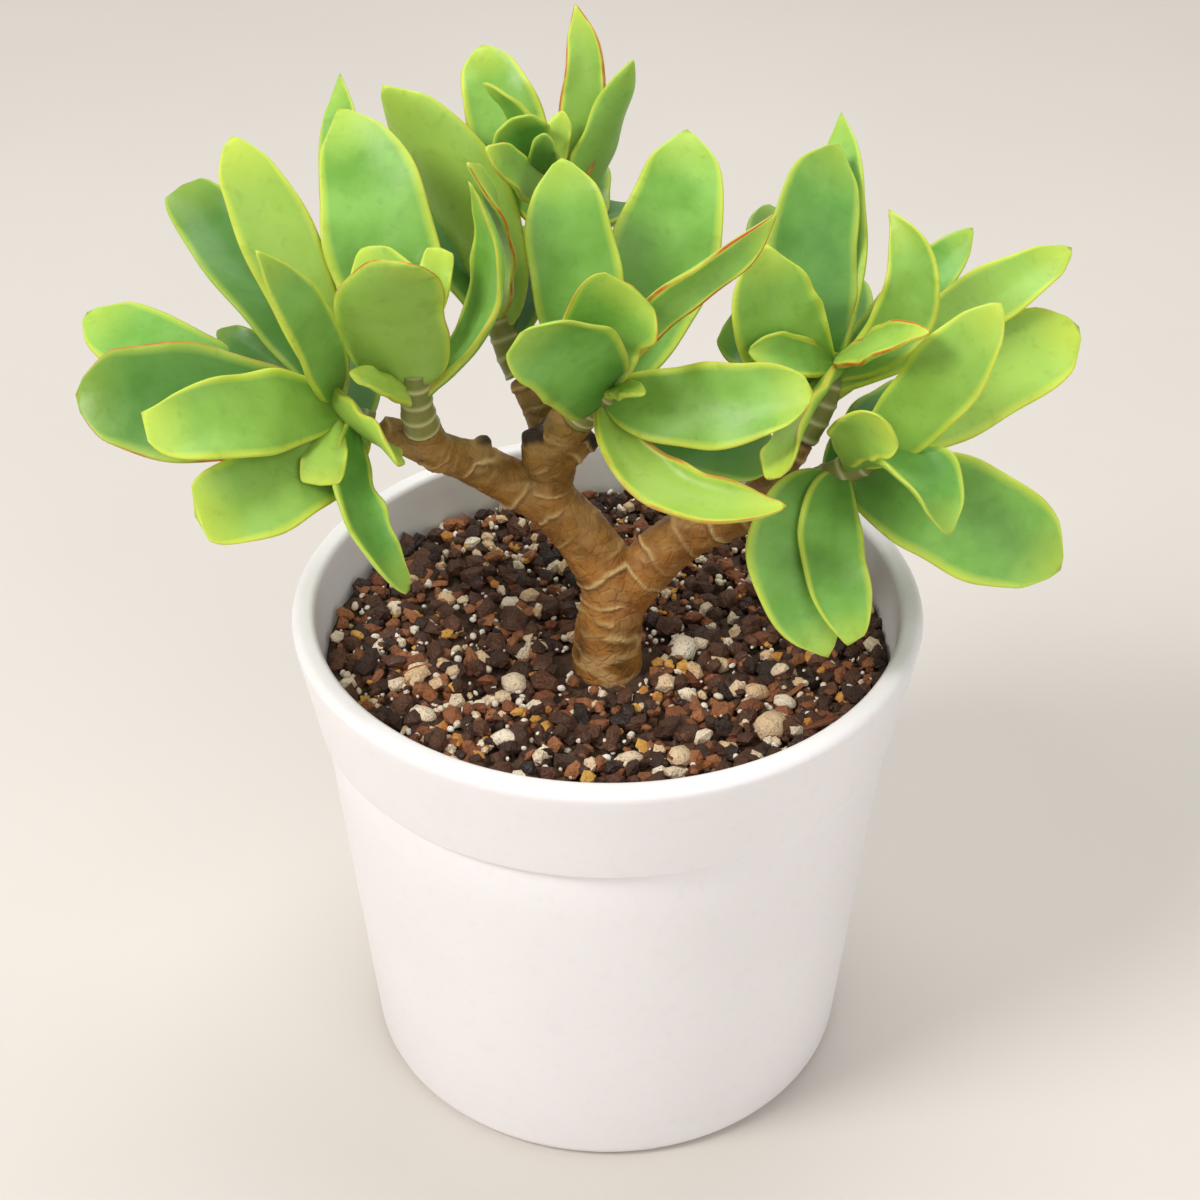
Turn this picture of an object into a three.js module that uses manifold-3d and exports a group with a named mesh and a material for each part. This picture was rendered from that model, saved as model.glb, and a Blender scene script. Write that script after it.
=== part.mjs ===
// Ruffles jade in a white plastic pot: a thick woody stem that forks low over gritty soil
// and carries seven leafy shoots of fleshy, waved leaves. Millimetres, +Z up.
// The origin is the centre of the pot's flat underside; the front of the plant faces -Y.
import * as THREE from "three";
import { mergeVertices } from "three/addons/utils/BufferGeometryUtils.js";
import Module from "manifold-3d";

const wasm = await Module();
wasm.setup();

// Driving dimensions
const rimRadius = 60;
const rimInnerRadius = 55.5;
const potHeight = 103.4;
const collarBottom = 81.8;
const collarRadius = 56.7;
const shoulderRadius = 55.5;
const baseRadius = 49.2;
const baseRounding = 3;
const wall = 2.4;
const floorThickness = 2.8;
const drainRadius = 4;
const drainCircle = 26;
const drainCount = 6;
const touchGap = 0.3;
const potSides = 44;

const soilTop = 92;
const grainBump = 0.7;
const stoneCount = 38;
const trunkPlace = new THREE.Vector2(0, -7);
const rootRadius = 7;
const rootSides = 12;
const rootBottom = 52;

const leafSides = 8;
const leafSteps = 7;
const smallLeaf = 8;
const leafThickness = 2.4;
const petioleHalfWidth = 1.9;

// Outlines of a leaf: where it is widest along its length, and how bluntly its tip closes
const oval = [0.55, 0.55];
const spoon = [0.61, 0.47];
const lance = [0.5, 0.78];
const blunt = [0.6, 0.28];
const fan = [0.78, 0.22];

function vec([x, y, z]) {
  return new THREE.Vector3(x, y, z);
}

// A seeded draw, so that every run lays the stones the same way
function makeDraw(seed) {
  let state = seed;
  return (low, high) => {
    state = (state * 16807) % 2147483647;
    return low + ((high - low) * state) / 2147483647;
  };
}

function solidFrom(geometry) {
  geometry.deleteAttribute("normal");
  geometry.deleteAttribute("uv");
  const merged = mergeVertices(geometry, 1e-4);
  const mesh = new wasm.Mesh({
    numProp: 3,
    vertProperties: merged.attributes.position.array,
    triVerts: new Uint32Array(merged.index.array),
  });
  return new wasm.Manifold(mesh);
}

function geometryFrom(solid) {
  const mesh = solid.getMesh();
  const geometry = new THREE.BufferGeometry();
  geometry.setAttribute("position", new THREE.BufferAttribute(mesh.vertProperties, 3));
  geometry.setIndex(new THREE.BufferAttribute(mesh.triVerts, 1));
  geometry.computeVertexNormals();
  return geometry;
}

function joinAll(solids) {
  return solids.reduce((whole, next) => whole.add(next));
}

function moveVertices(geometry, place) {
  const position = geometry.attributes.position;
  const point = new THREE.Vector3();
  for (let i = 0; i < position.count; i += 1) {
    point.fromBufferAttribute(position, i);
    place(point);
    position.setXYZ(i, point.x, point.y, point.z);
  }
  return geometry;
}

// Pot: one turned shell with a collar, a rounded rim and a flat floor with drain holes
function potSolid() {
  const profile = new THREE.Path();
  profile.moveTo(0, 0);
  profile.lineTo(baseRadius - baseRounding, 0);
  profile.quadraticCurveTo(baseRadius, 0, baseRadius + 0.2, baseRounding);
  profile.lineTo(shoulderRadius, collarBottom);
  profile.lineTo(collarRadius - 0.3, collarBottom);
  profile.lineTo(collarRadius, collarBottom + 0.6);
  profile.lineTo(rimRadius - 0.15, potHeight - 2);
  profile.quadraticCurveTo(rimRadius, potHeight, rimRadius - 2, potHeight);
  profile.lineTo(rimInnerRadius + 1.2, potHeight);
  profile.quadraticCurveTo(rimInnerRadius, potHeight, rimInnerRadius, potHeight - 1.2);
  profile.lineTo(rimInnerRadius - 0.6, potHeight - 8);
  profile.lineTo(innerRadiusAt(collarBottom), collarBottom);
  profile.lineTo(innerRadiusAt(floorThickness), floorThickness);
  profile.lineTo(0, floorThickness);
  const points = profile.getPoints(3);
  const shell = solidFrom(uprightLathe(points, potSides));
  const holes = [];
  for (let i = 0; i < drainCount; i += 1) {
    const angle = (2 * Math.PI * i) / drainCount;
    const hole = new THREE.CylinderGeometry(drainRadius, drainRadius, 4 * floorThickness, 12);
    hole.rotateX(Math.PI / 2);
    hole.translate(drainCircle * Math.cos(angle), drainCircle * Math.sin(angle), 0);
    holes.push(solidFrom(hole));
  }
  return shell.subtract(joinAll(holes));
}

// The pot's inner wall runs straight from the floor to the collar's foot
function innerRadiusAt(z) {
  return baseRadius - wall + ((shoulderRadius - baseRadius) * z) / collarBottom;
}

// A turned solid about the upright axis
function uprightLathe(points, sides) {
  const geometry = new THREE.LatheGeometry(points, sides);
  geometry.rotateX(Math.PI / 2);
  return geometry;
}

// Soil: fills the pot below the rim, with a bumpy top, stones that stand out of it
// and the plain hole that the trunk stands in
function soilSolid() {
  const draw = makeDraw(4127);
  const rings = 7;
  const edge = innerRadiusAt(collarBottom) - touchGap;
  const rimGap = soilTop - 1.6 - collarBottom;
  const top = edge + (rimInnerRadius - 0.6 - innerRadiusAt(collarBottom)) * (rimGap / 13.6);
  const points = [new THREE.Vector2(0, floorThickness + touchGap)];
  points.push(new THREE.Vector2(innerRadiusAt(floorThickness) - touchGap, floorThickness + touchGap));
  points.push(new THREE.Vector2(edge, collarBottom));
  points.push(new THREE.Vector2(top, soilTop - 1.6));
  for (let i = 1; i <= rings; i += 1) {
    points.push(new THREE.Vector2(top * (1 - i / rings), soilTop));
  }
  const body = uprightLathe(points, potSides);
  moveVertices(body, (p) => {
    if (p.z > soilTop - 0.1) {
      p.z += soilBump(p.x, p.y);
    }
  });
  const parts = [solidFrom(body)];
  while (parts.length <= stoneCount) {
    const reach = 49 * Math.sqrt(draw(0, 1));
    const angle = draw(0, 2 * Math.PI);
    const place = new THREE.Vector2(reach * Math.cos(angle), reach * Math.sin(angle));
    const size = draw(1.8, 3.6);
    if (place.distanceTo(trunkPlace) > rootRadius + size + 1.5) {
      parts.push(stoneSolid(draw, size, place));
    }
  }
  const holeRadius = (rootRadius + touchGap) / Math.cos(Math.PI / rootSides);
  const hole = new THREE.CylinderGeometry(holeRadius, holeRadius, 80, rootSides);
  hole.rotateX(Math.PI / 2);
  hole.translate(trunkPlace.x, trunkPlace.y, rootBottom - touchGap + 40);
  return joinAll(parts).subtract(solidFrom(hole));
}

function soilBump(x, y) {
  const long = Math.sin(0.31 * x + 0.9) * Math.cos(0.27 * y - 0.4);
  const short = Math.sin(1.13 * x - 0.71 * y) * Math.cos(0.83 * y + 0.52 * x);
  return grainBump * (0.8 * long + 0.7 * short);
}

function stoneSolid(draw, size, place) {
  const stone = new THREE.IcosahedronGeometry(1, 0);
  const turn = new THREE.Euler(draw(0, 6), draw(0, 6), draw(0, 6));
  stone.scale(size * draw(0.8, 1.2), size * draw(0.8, 1.2), size * draw(0.65, 0.9));
  stone.applyMatrix4(new THREE.Matrix4().makeRotationFromEuler(turn));
  stone.translate(place.x, place.y, soilTop + soilBump(place.x, place.y) - 0.1 * size);
  return solidFrom(stone);
}

// A round limb along a curve. Its radius runs through the given values from start to end,
// and its ring scars are low ridges round it.
function limbSolid({ points, radii, start = 0, end = 1, sides = 9, steps = 14, scars = 0 }) {
  const curve = new THREE.CatmullRomCurve3(points.map(vec), false, "centripetal");
  const part = new Stretch(curve, start, end);
  const frames = part.computeFrenetFrames(steps, false);
  const tube = new THREE.CylinderGeometry(1, 1, 1, sides, steps, false);
  moveVertices(tube, (p) => {
    const k = Math.round((p.y + 0.5) * steps);
    const along = start + (end - start) * (k / steps);
    const centre = part.getPoint(k / steps);
    const isScar = k % 3 === 1 && k < steps && centre.z > soilTop + 2;
    const radius = valueAlong(radii, along) + (isScar ? scars : 0);
    const across = p.x * radius;
    const out = p.z * radius;
    p.copy(centre);
    p.addScaledVector(frames.normals[k], across);
    p.addScaledVector(frames.binormals[k], -out);
  });
  return solidFrom(tube);
}

// The stretch of a curve between two shares of its length
class Stretch extends THREE.Curve {
  constructor(whole, start, end) {
    super();
    this.whole = whole;
    this.start = start;
    this.end = end;
  }

  getPoint(t, target = new THREE.Vector3()) {
    return this.whole.getPointAt(THREE.MathUtils.lerp(this.start, this.end, t), target);
  }
}

function valueAlong(values, share) {
  const place = share * (values.length - 1);
  const low = Math.min(Math.floor(place), values.length - 2);
  return values[low] + (values[low + 1] - values[low]) * (place - low);
}

// One fleshy leaf: a ball drawn out along the curved midrib from its seat to its tip.
// bow bends it towards its face, sway sideways, hook turns its last third;
// cup is half the angle that the blade wraps round its midrib, in degrees.
// form is one outline for both sides, or a pair of outlines where the two sides differ.
function leafSolid(seat, leaf) {
  const { tip, face, wide, bow = 0.05, sway = 0, hook = 0, cup = 20, wave = 0.5, form = oval } = leaf;
  const thick = leaf.thick ?? leafThickness;
  const end = vec(tip);
  const length = end.distanceTo(seat);
  const axis = end.clone().sub(seat).normalize();
  const normal = vec(face);
  normal.addScaledVector(axis, -normal.dot(axis)).normalize();
  const lateral = normal.clone().cross(axis);
  const low = seat.clone().addScaledVector(axis, length * 0.33);
  low.addScaledVector(normal, length * bow * 1.33);
  low.addScaledVector(lateral, length * sway * 1.33);
  const high = seat.clone().addScaledVector(axis, length * 0.7);
  high.addScaledVector(normal, length * bow * 1.33);
  high.addScaledVector(lateral, length * (sway * 1.33 + hook));
  const midrib = new THREE.CubicBezierCurve3(seat, low, high, end);
  const wrap = THREE.MathUtils.degToRad(cup);
  const sideForms = Array.isArray(form[0]) ? form : [form, form];
  const ball = wide < smallLeaf
    ? new THREE.SphereGeometry(1, 6, 6)
    : new THREE.SphereGeometry(1, leafSides, leafSteps);
  moveVertices(ball, (p) => {
    const t = Math.acos(THREE.MathUtils.clamp(p.y, -1, 1)) / Math.PI;
    const ring = Math.hypot(p.x, p.z);
    const across = ring > 1e-6 ? p.x / ring : 0;
    const through = ring > 1e-6 ? p.z / ring : 0;
    const along = midrib.getTangent(t);
    const up = normal.clone().addScaledVector(along, -normal.dot(along)).normalize();
    const side = up.clone().cross(along);
    const half = halfWidth(t, wide, sideForms[across > 0 ? 0 : 1]);
    const depth = halfThickness(t, thick);
    const bend = wrap * across;
    const ripple = wave * across * across * Math.sin(3 * Math.PI * t + (across > 0 ? 1.7 : 0));
    const sideways = (half * Math.sin(bend)) / wrap - Math.sin(bend) * through * depth;
    const rise = (half * (1 - Math.cos(bend))) / wrap + Math.cos(bend) * through * depth;
    p.copy(midrib.getPoint(t));
    if (ring > 1e-6) {
      p.addScaledVector(side, sideways);
      p.addScaledVector(up, rise + (ripple * half) / (wide / 2));
    }
  });
  return solidFrom(ball);
}

// Half the blade's width at a share of its length, never slimmer than its short stalk
function halfWidth(t, wide, [widest, taper]) {
  const swell = (taper * widest) / (1 - widest);
  const blade = (wide / 2) * (t / widest) ** swell * ((1 - t) / (1 - widest)) ** taper;
  const stalk = t < 0.5 ? petioleHalfWidth * (1 - t) ** 0.6 : 0;
  return Math.max(blade, Math.min(stalk, wide / 2));
}

function halfThickness(t, thick) {
  const closing = Math.min(1, Math.max(1 - t, 0) ** 0.35);
  return (thick / 2) * closing * (1 + 0.35 * Math.exp(-t / 0.12));
}

// Limbs: each runs from the wood into a green shoot. wood is the share of the limb that is
// bark; the shoot's own stem goes on from there, a hair's gap above the wood.
const limbs = {
  leftFront: {
    points: [
      [0, -7, rootBottom],
      [0, -7, 80],
      [0, -6, 97],
      [1, -4, 107],
      [-3, -2, 115],
      [-9, 0, 122],
      [-16, 0, 127],
      [-24, -2, 133],
      [-32, -6, 139],
      [-39, -9, 144],
      [-46, -9, 147],
      [-52, -7, 151],
    ],
    radii: [6.6, 6.8, 7.2, 7, 6.4, 5.8, 5.2, 4.5, 4, 3.4, 2.7, 2],
    wood: 0.9,
    woodSteps: 25,
    woodSides: rootSides,
  },
  leftSmall: {
    points: [
      [-30, -5, 136],
      [-32, -9, 143],
      [-33, -12, 150],
      [-33, -14, 159],
    ],
    radii: [3.4, 3.3, 2.9, 2.2],
    wood: 0.45,
  },
  leftBack: {
    points: [
      [-9, 1, 131],
      [-13, 6, 141],
      [-18, 11, 149],
      [-21, 14, 158],
    ],
    radii: [3.4, 3, 2.6, 2],
    wood: 0.55,
  },
  top: {
    points: [
      [-8, 1, 132],
      [-8, 8, 144],
      [-8, 14, 156],
      [-10, 19, 168],
      [-12, 22, 180],
    ],
    radii: [3.4, 3, 2.7, 2.4, 2],
    wood: 0.55,
  },
  centre: {
    points: [
      [-4, -2, 116],
      [-11, 0, 126],
      [-10, 0, 133],
      [-8, -2, 140],
      [-4, -6, 147],
      [1, -12, 154],
    ],
    radii: [4.6, 5, 4.6, 4.2, 3.2, 2.2],
    wood: 0.72,
  },
  rightLow: {
    points: [
      [0, -6, 98],
      [4, -4, 107],
      [14, -1, 117],
      [26, -3, 124],
      [36, -7, 131],
      [47, -9, 139],
    ],
    radii: [4.8, 5.2, 4.8, 4, 3.3, 2.2],
    wood: 0.8,
  },
  rightHigh: {
    points: [
      [25, -2, 123],
      [33, 1, 133],
      [38, 2, 142],
      [42, 5, 152],
    ],
    radii: [3.2, 3, 2.7, 2],
    wood: 0.5,
  },
};

// Leaves of each shoot, from the outer ones to the bud. at is the place of the leaf's seat
// along the shoot's stem, 0 at the wood and 1 at the bud.
const leaves = {
  leftFront: [
    { at: 0.3, tip: [-95, 14, 155.5], face: [0.1, -0.5, 0.9], wide: 15, sway: 0.07, form: spoon },
    { at: 0.2, tip: [-92, -12, 153], face: [0.1, -0.8, 0.6], wide: 21, form: spoon },
    {
      at: 0.45, tip: [-76, -32, 161], face: [0.1, -0.7, 0.75], wide: 17, bow: 0.08, sway: 0.04,
      form: [[0.76, 0.32], [0.42, 0.95]],
    },
    {
      at: 0.1, tip: [-68.5, -36, 143.5], face: [0.1, -0.75, 0.65], wide: 16, sway: 0.075,
      form: [0.66, 0.25],
    },
    {
      at: 0.35, tip: [-34, -32, 126], face: [0.8, -0.6, 0.2], wide: 10.5, sway: -0.2, hook: -0.14,
      cup: 30, form: [0.6, 0.4],
    },
    {
      at: 0.5, tip: [-77, 24, 176], face: [0.4, -0.8, 0.3], wide: 13.5,
      form: [[0.7, 0.3], [0.66, 0.36]],
    },
    {
      at: 0.8, tip: [-64, 8, 192], face: [0.3, -0.9, 0.3], wide: 13.5, sway: -0.02,
      form: [[0.66, 0.42], [0.5, 0.58]],
    },
    {
      at: 1, tip: [-55, -30, 189], face: [0.5, -0.8, 0.3], wide: 9.5, bow: 0.08, sway: -0.03,
      form: lance,
    },
    { at: 0.8, tip: [-70, 6, 156], face: [0.1, -0.7, 0.7], wide: 8, cup: 15 },
    {
      at: 1, tip: [-35, -30, 150], face: [0.9, -0.1, 0.4], wide: 13, cup: 15,
      form: [[0.35, 0.6], [0.4, 0.6]],
    },
    { at: 0.8, tip: [-48.5, -28, 144.5], face: [0, -0.5, 0.85], wide: 8, cup: 10, form: fan },
    { at: 0.1, tip: [-58, 30, 141], face: [0, 0.4, 0.9], wide: 16 },
  ],
  leftSmall: [
    {
      at: 0.55, tip: [-47, 18, 193], face: [0.1, -0.95, 0.2], wide: 20, sway: -0.03,
      form: [[0.48, 0.8], [0.55, 0.64]],
    },
    { at: 0.4, tip: [-48, 32, 194], face: [-0.3, -0.95, 0.2], wide: 12, sway: 0.03, form: lance },
    {
      at: 0.75, tip: [-30.8, -33, 188.2], face: [0, 1, 0.1], wide: 20, bow: 0.08, sway: -0.12,
      cup: 25, form: [[0.4, 0.42], [0.22, 0.75]],
    },
    { at: 0.95, tip: [-42, -4, 176.8], face: [0.3, -0.9, 0.3], wide: 12.5, bow: 0.08, sway: -0.06 },
    { at: 0.95, tip: [-28, -8, 179], face: [0, -0.9, 0.3], wide: 6, form: fan },
    {
      at: 0.6, tip: [-23, -8, 191], face: [-0.8, -0.5, 0.3], wide: 10, bow: -0.22, sway: -0.05,
      cup: 30, form: lance,
    },
    { at: 0.45, tip: [-43, -22, 163], face: [0.1, -0.6, 0.8], wide: 4.6, cup: 10 },
  ],
  leftBack: [
    {
      at: 0.6, tip: [-40, 26, 194], face: [0.2, 0.95, 0.1], wide: 17, sway: 0.08, cup: 25,
      form: [[0.45, 0.72], [0.6, 0.5]],
    },
    { at: 0.9, tip: [-23, -10, 195], face: [0.9, 0.1, 0.3], wide: 11, bow: 0.07, cup: 25, form: lance },
    { at: 0.4, tip: [-38, 42, 172], face: [0.3, -0.2, 0.9], wide: 17 },
    { at: 0.3, tip: [-16, 46, 158], face: [0, -0.3, 0.9], wide: 15 },
  ],
  top: [
    { at: 0.5, tip: [-23, 40, 196.2], face: [0.2, -0.9, 0.2], wide: 14.5, sway: 0.03 },
    { at: 0.8, tip: [-22, 22, 196], face: [-0.6, -0.7, 0.2], wide: 5, bow: -0.1, sway: -0.1 },
    {
      at: 0.85, tip: [-17, 16, 192], face: [0.2, -0.9, 0.3], wide: 12, bow: -0.1, cup: 50,
      form: blunt,
    },
    { at: 0.9, tip: [-8, 22, 191], face: [0, -0.9, 0.3], wide: 5, form: spoon },
    { at: 1, tip: [-11, 12, 191], face: [0, -0.9, 0.3], wide: 5.5 },
    { at: 0.75, tip: [-21, 8, 190], face: [0.5, -0.7, 0.5], wide: 7, bow: 0.06 },
    { at: 0.6, tip: [-6, 34, 206], face: [0.2, -0.9, 0.2], wide: 9, sway: -0.08, cup: 30, form: lance },
    {
      at: 0.4, tip: [4.2, 22, 200.5], face: [-0.5, 0.9, 0.2], wide: 9, sway: 0.06, cup: 25,
      form: lance,
    },
    { at: 0.2, tip: [-6, 50, 170], face: [0, -0.5, 0.8], wide: 16 },
    { at: 0.35, tip: [10, 42, 164], face: [-0.5, -0.3, 0.8], wide: 14 },
  ],
  centre: [
    {
      at: 0.6, tip: [-8, 6, 189], face: [0, -0.95, 0.2], wide: 16.2, sway: 0.012, cup: 15,
      form: [0.54, 0.55],
    },
    {
      at: 0.5, tip: [14, 26, 186], face: [-0.1, -0.95, 0.2], wide: 19.5, sway: -0.06,
      form: [[0.5, 0.6], [0.5, 0.64]],
    },
    {
      at: 0.85, tip: [4, -18, 177], face: [0, -0.9, 0.3], wide: 17, sway: 0.12, wave: 2,
      form: [0.72, 0.24],
    },
    {
      at: 0.8, tip: [-14, -33, 176.2], face: [0.1, -0.95, 0.2], wide: 17.5, sway: -0.07, cup: 15,
      form: [[0.42, 0.25], [0.62, 0.5]],
    },
    {
      at: 0.95, tip: [27, -18, 190], face: [0.5, -0.5, 0.6], wide: 8, bow: 0, sway: 0.16,
      hook: -0.25, cup: 30, form: lance,
    },
    { at: 1, tip: [6, -24, 160], face: [0, -0.5, 0.8], wide: 4, cup: 10 },
    {
      at: 0.9, tip: [34, -25, 161], face: [0, -0.8, 0.6], wide: 15, bow: 0.03, sway: -0.06,
      wave: 1, form: [[0.55, 0.4], [0.5, 0.5]],
    },
    { at: 0.7, tip: [30, -33, 144], face: [0, -0.3, 0.9], wide: 12, bow: -0.06, sway: -0.2, cup: 35 },
    { at: 0.4, tip: [31, -9, 138], face: [0, -0.8, 0.6], wide: 14, bow: 0 },
  ],
  rightLow: [
    { at: 0.8, tip: [47, -27, 156], face: [-0.2, -0.9, 0.4], wide: 11, sway: 0.12, cup: 25, form: fan },
    { at: 0.7, tip: [58, -30, 136], face: [0.4, -0.4, 0.8], wide: 14.5, bow: 0.3, cup: 25 },
    { at: 0.45, tip: [81, -18, 121], face: [-0.1, -0.8, 0.6], wide: 21, sway: 0.04, cup: 15 },
    {
      at: 0.5, tip: [86, 14, 153], face: [-0.2, -0.8, 0.6], wide: 18, sway: 0.02, cup: 15,
      form: spoon,
    },
    { at: 0.9, tip: [65, -16, 173], face: [-0.3, -0.8, 0.5], wide: 13.5, sway: -0.04, cup: 15 },
    {
      at: 0.6, tip: [42, -33, 115], face: [-0.1, -0.7, 0.7], wide: 13, sway: -0.08,
      form: [[0.66, 0.35], [0.35, 0.9]],
    },
    {
      at: 0.35, tip: [39, -31, 111], face: [0.1, -0.8, 0.5], wide: 19, sway: -0.2,
      form: [[0.55, 0.55], [0.4, 0.8]],
    },
    { at: 0.2, tip: [66, 26, 134], face: [0, 0, 1], wide: 16 },
  ],
  rightHigh: [
    { at: 0.9, tip: [29, -29, 147], face: [-0.75, -0.5, 0.45], wide: 11, form: blunt },
    { at: 0.6, tip: [85, 24, 164], face: [-0.2, -0.7, 0.7], wide: 11.2, bow: 0.08, sway: -0.03 },
    {
      at: 0.8, tip: [49, 12, 177], face: [-0.3, -0.8, 0.5], wide: 11.5, sway: -0.26, hook: -0.1,
      form: lance,
    },
    { at: 0.4, tip: [68, 32, 164.2], face: [-0.2, -0.8, 0.5], wide: 10, form: [0.5, 0.62] },
    {
      at: 0.6, tip: [41, 24, 184], face: [0.2, -0.9, 0.2], wide: 17.6, sway: 0.12,
      form: [[0.56, 0.6], [0.5, 0.55]],
    },
    { at: 0.4, tip: [42.2, 34, 186], face: [-0.4, -0.9, 0.2], wide: 11, sway: -0.04, form: lance },
    {
      at: 0.85, tip: [27, 0, 176], face: [0.3, -0.9, 0.3], wide: 18.3, sway: 0.19,
      form: [[0.5, 0.62], [0.55, 0.6]],
    },
    { at: 0.5, tip: [30, 34, 168], face: [0.3, -0.9, 0.2], wide: 13, sway: 0.08 },
    { at: 0.35, tip: [21, 14, 153], face: [0.1, -0.8, 0.6], wide: 12, sway: -0.05, form: blunt },
    { at: 0.95, tip: [24, -10, 160.5], face: [0.2, -0.7, 0.7], wide: 9, cup: 40, form: spoon },
    { at: 1, tip: [53, -20, 169.5], face: [-0.3, -0.4, 0.9], wide: 8.5, sway: -0.05, cup: 25 },
    { at: 0.2, tip: [46, 46, 148], face: [0, 0, 1], wide: 15 },
  ],
};

// The length of a limb, to turn the touching gap into a share of it
function limbLength({ points }) {
  return new THREE.CatmullRomCurve3(points.map(vec), false, "centripetal").getLength();
}

function woodOf(limb) {
  const end = limb.wood;
  return limbSolid({ ...limb, end, steps: limb.woodSteps ?? 9, sides: limb.woodSides ?? 9, scars: 0.35 });
}

// Wood: the trunk, its forks and the stubs where branches broke off, grown as one piece
function trunkSolid() {
  const parts = Object.values(limbs).map(woodOf);
  const stubs = [
    { points: [[-11, 0, 130], [-13, -1, 135], [-14, -1, 140]], radii: [4, 3, 1.6] },
    { points: [[-9, -1, 133], [-5, -2, 137], [-2, -3, 139]], radii: [3, 2.4, 1.6] },
    { points: [[-24, -2, 132], [-23, -2, 136], [-22, -2, 139]], radii: [3, 2.4, 1.3] },
  ];
  for (const stub of stubs) {
    parts.push(limbSolid({ ...stub, sides: 7, steps: 3 }));
  }
  return joinAll(parts);
}

// A shoot: the green end of a limb with its leaves grown on it
function shootSolid(name) {
  const limb = limbs[name];
  const start = limb.wood + touchGap / limbLength(limb);
  const curve = new THREE.CatmullRomCurve3(limb.points.map(vec), false, "centripetal");
  const parts = [limbSolid({ ...limb, start, steps: 5, sides: 9 })];
  for (const leaf of leaves[name]) {
    const share = start + (0.97 - start) * (0.12 + 0.85 * leaf.at);
    parts.push(leafSolid(curve.getPointAt(share), leaf));
  }
  return joinAll(parts);
}

const potPlastic = new THREE.MeshStandardMaterial({ color: 0xf4f4f2, roughness: 0.45, metalness: 0 });
const grit = new THREE.MeshStandardMaterial({ color: 0x4a3028, roughness: 0.95, metalness: 0 });
const bark = new THREE.MeshStandardMaterial({ color: 0x9a7a50, roughness: 0.8, metalness: 0 });
const leafGreen = new THREE.MeshStandardMaterial({ color: 0x6aa33c, roughness: 0.42, metalness: 0 });

const plant = new THREE.Group();

function addPiece(name, solid, material) {
  const mesh = new THREE.Mesh(geometryFrom(solid), material);
  mesh.name = name;
  plant.add(mesh);
}

addPiece("pot", potSolid(), potPlastic);
addPiece("soil", soilSolid(), grit);
addPiece("trunk", trunkSolid(), bark);
addPiece("shoot_left_front", shootSolid("leftFront"), leafGreen);
addPiece("shoot_left_small", shootSolid("leftSmall"), leafGreen);
addPiece("shoot_left_back", shootSolid("leftBack"), leafGreen);
addPiece("shoot_top", shootSolid("top"), leafGreen);
addPiece("shoot_centre", shootSolid("centre"), leafGreen);
addPiece("shoot_right_low", shootSolid("rightLow"), leafGreen);
addPiece("shoot_right_high", shootSolid("rightHigh"), leafGreen);

export default plant;
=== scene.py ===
import math
import random

import bmesh
import bpy
from mathutils import Euler, Matrix, Vector, kdtree, noise


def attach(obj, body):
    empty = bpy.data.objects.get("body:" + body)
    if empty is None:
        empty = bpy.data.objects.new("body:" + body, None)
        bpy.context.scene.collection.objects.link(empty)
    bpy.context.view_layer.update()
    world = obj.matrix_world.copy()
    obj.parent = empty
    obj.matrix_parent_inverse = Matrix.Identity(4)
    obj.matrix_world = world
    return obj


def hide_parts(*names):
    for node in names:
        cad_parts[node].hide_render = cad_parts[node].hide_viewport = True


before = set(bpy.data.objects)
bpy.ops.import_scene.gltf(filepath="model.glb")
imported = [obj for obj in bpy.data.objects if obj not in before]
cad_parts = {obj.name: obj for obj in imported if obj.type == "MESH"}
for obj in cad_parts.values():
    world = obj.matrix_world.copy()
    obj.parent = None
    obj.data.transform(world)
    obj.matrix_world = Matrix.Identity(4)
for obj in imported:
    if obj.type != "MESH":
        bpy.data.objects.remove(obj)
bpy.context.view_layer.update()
mm = 0.001
print("frame loaded:", sorted(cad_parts))


# small helpers

def smoothStep(low, high, value):
    share = min(max((value - low) / (high - low), 0), 1)
    return share * share * (3 - 2 * share)


def mix(a, b, share):
    return a + (b - a) * share


def valueAlong(values, share):
    place = share * (len(values) - 1)
    low = min(int(place), len(values) - 2)
    return mix(values[low], values[low + 1], place - low)


def addPiece(bm, name, material, standsFor=None, smooth=True):
    # a finished bmesh, in millimetres, becomes an object in metres that rides on the part's body
    bmesh.ops.scale(bm, vec=(mm, mm, mm), verts=bm.verts)
    for face in bm.faces:
        face.smooth = smooth
    mesh = bpy.data.meshes.new(name)
    bm.to_mesh(mesh)
    bm.free()
    mesh.materials.append(material)
    piece = bpy.data.objects.new(name, mesh)
    bpy.context.scene.collection.objects.link(piece)
    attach(piece, "root")
    if standsFor:
        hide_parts(standsFor)
    return piece


def spinProfile(bm, points, steps):
    # turns an outline of (radius, height) points about the upright axis
    verts = [bm.verts.new((radius, 0, height)) for radius, height in points]
    edges = [bm.edges.new(pair) for pair in zip(verts, verts[1:])]
    bmesh.ops.spin(
        bm, geom=verts + edges, cent=(0, 0, 0), axis=(0, 0, 1), angle=2 * math.pi,
        steps=steps, use_merge=True, use_duplicate=False,
    )
    bmesh.ops.remove_doubles(bm, verts=bm.verts, dist=0.002)
    bmesh.ops.recalc_face_normals(bm, faces=bm.faces)


def arcPoints(centre, radius, startDegrees, endDegrees, count):
    angles = [math.radians(mix(startDegrees, endDegrees, k / (count - 1))) for k in range(count)]
    return [(centre[0] + radius * math.cos(a), centre[1] + radius * math.sin(a)) for a in angles]


# curves: points along a smooth line, with a frame that never twists

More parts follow.
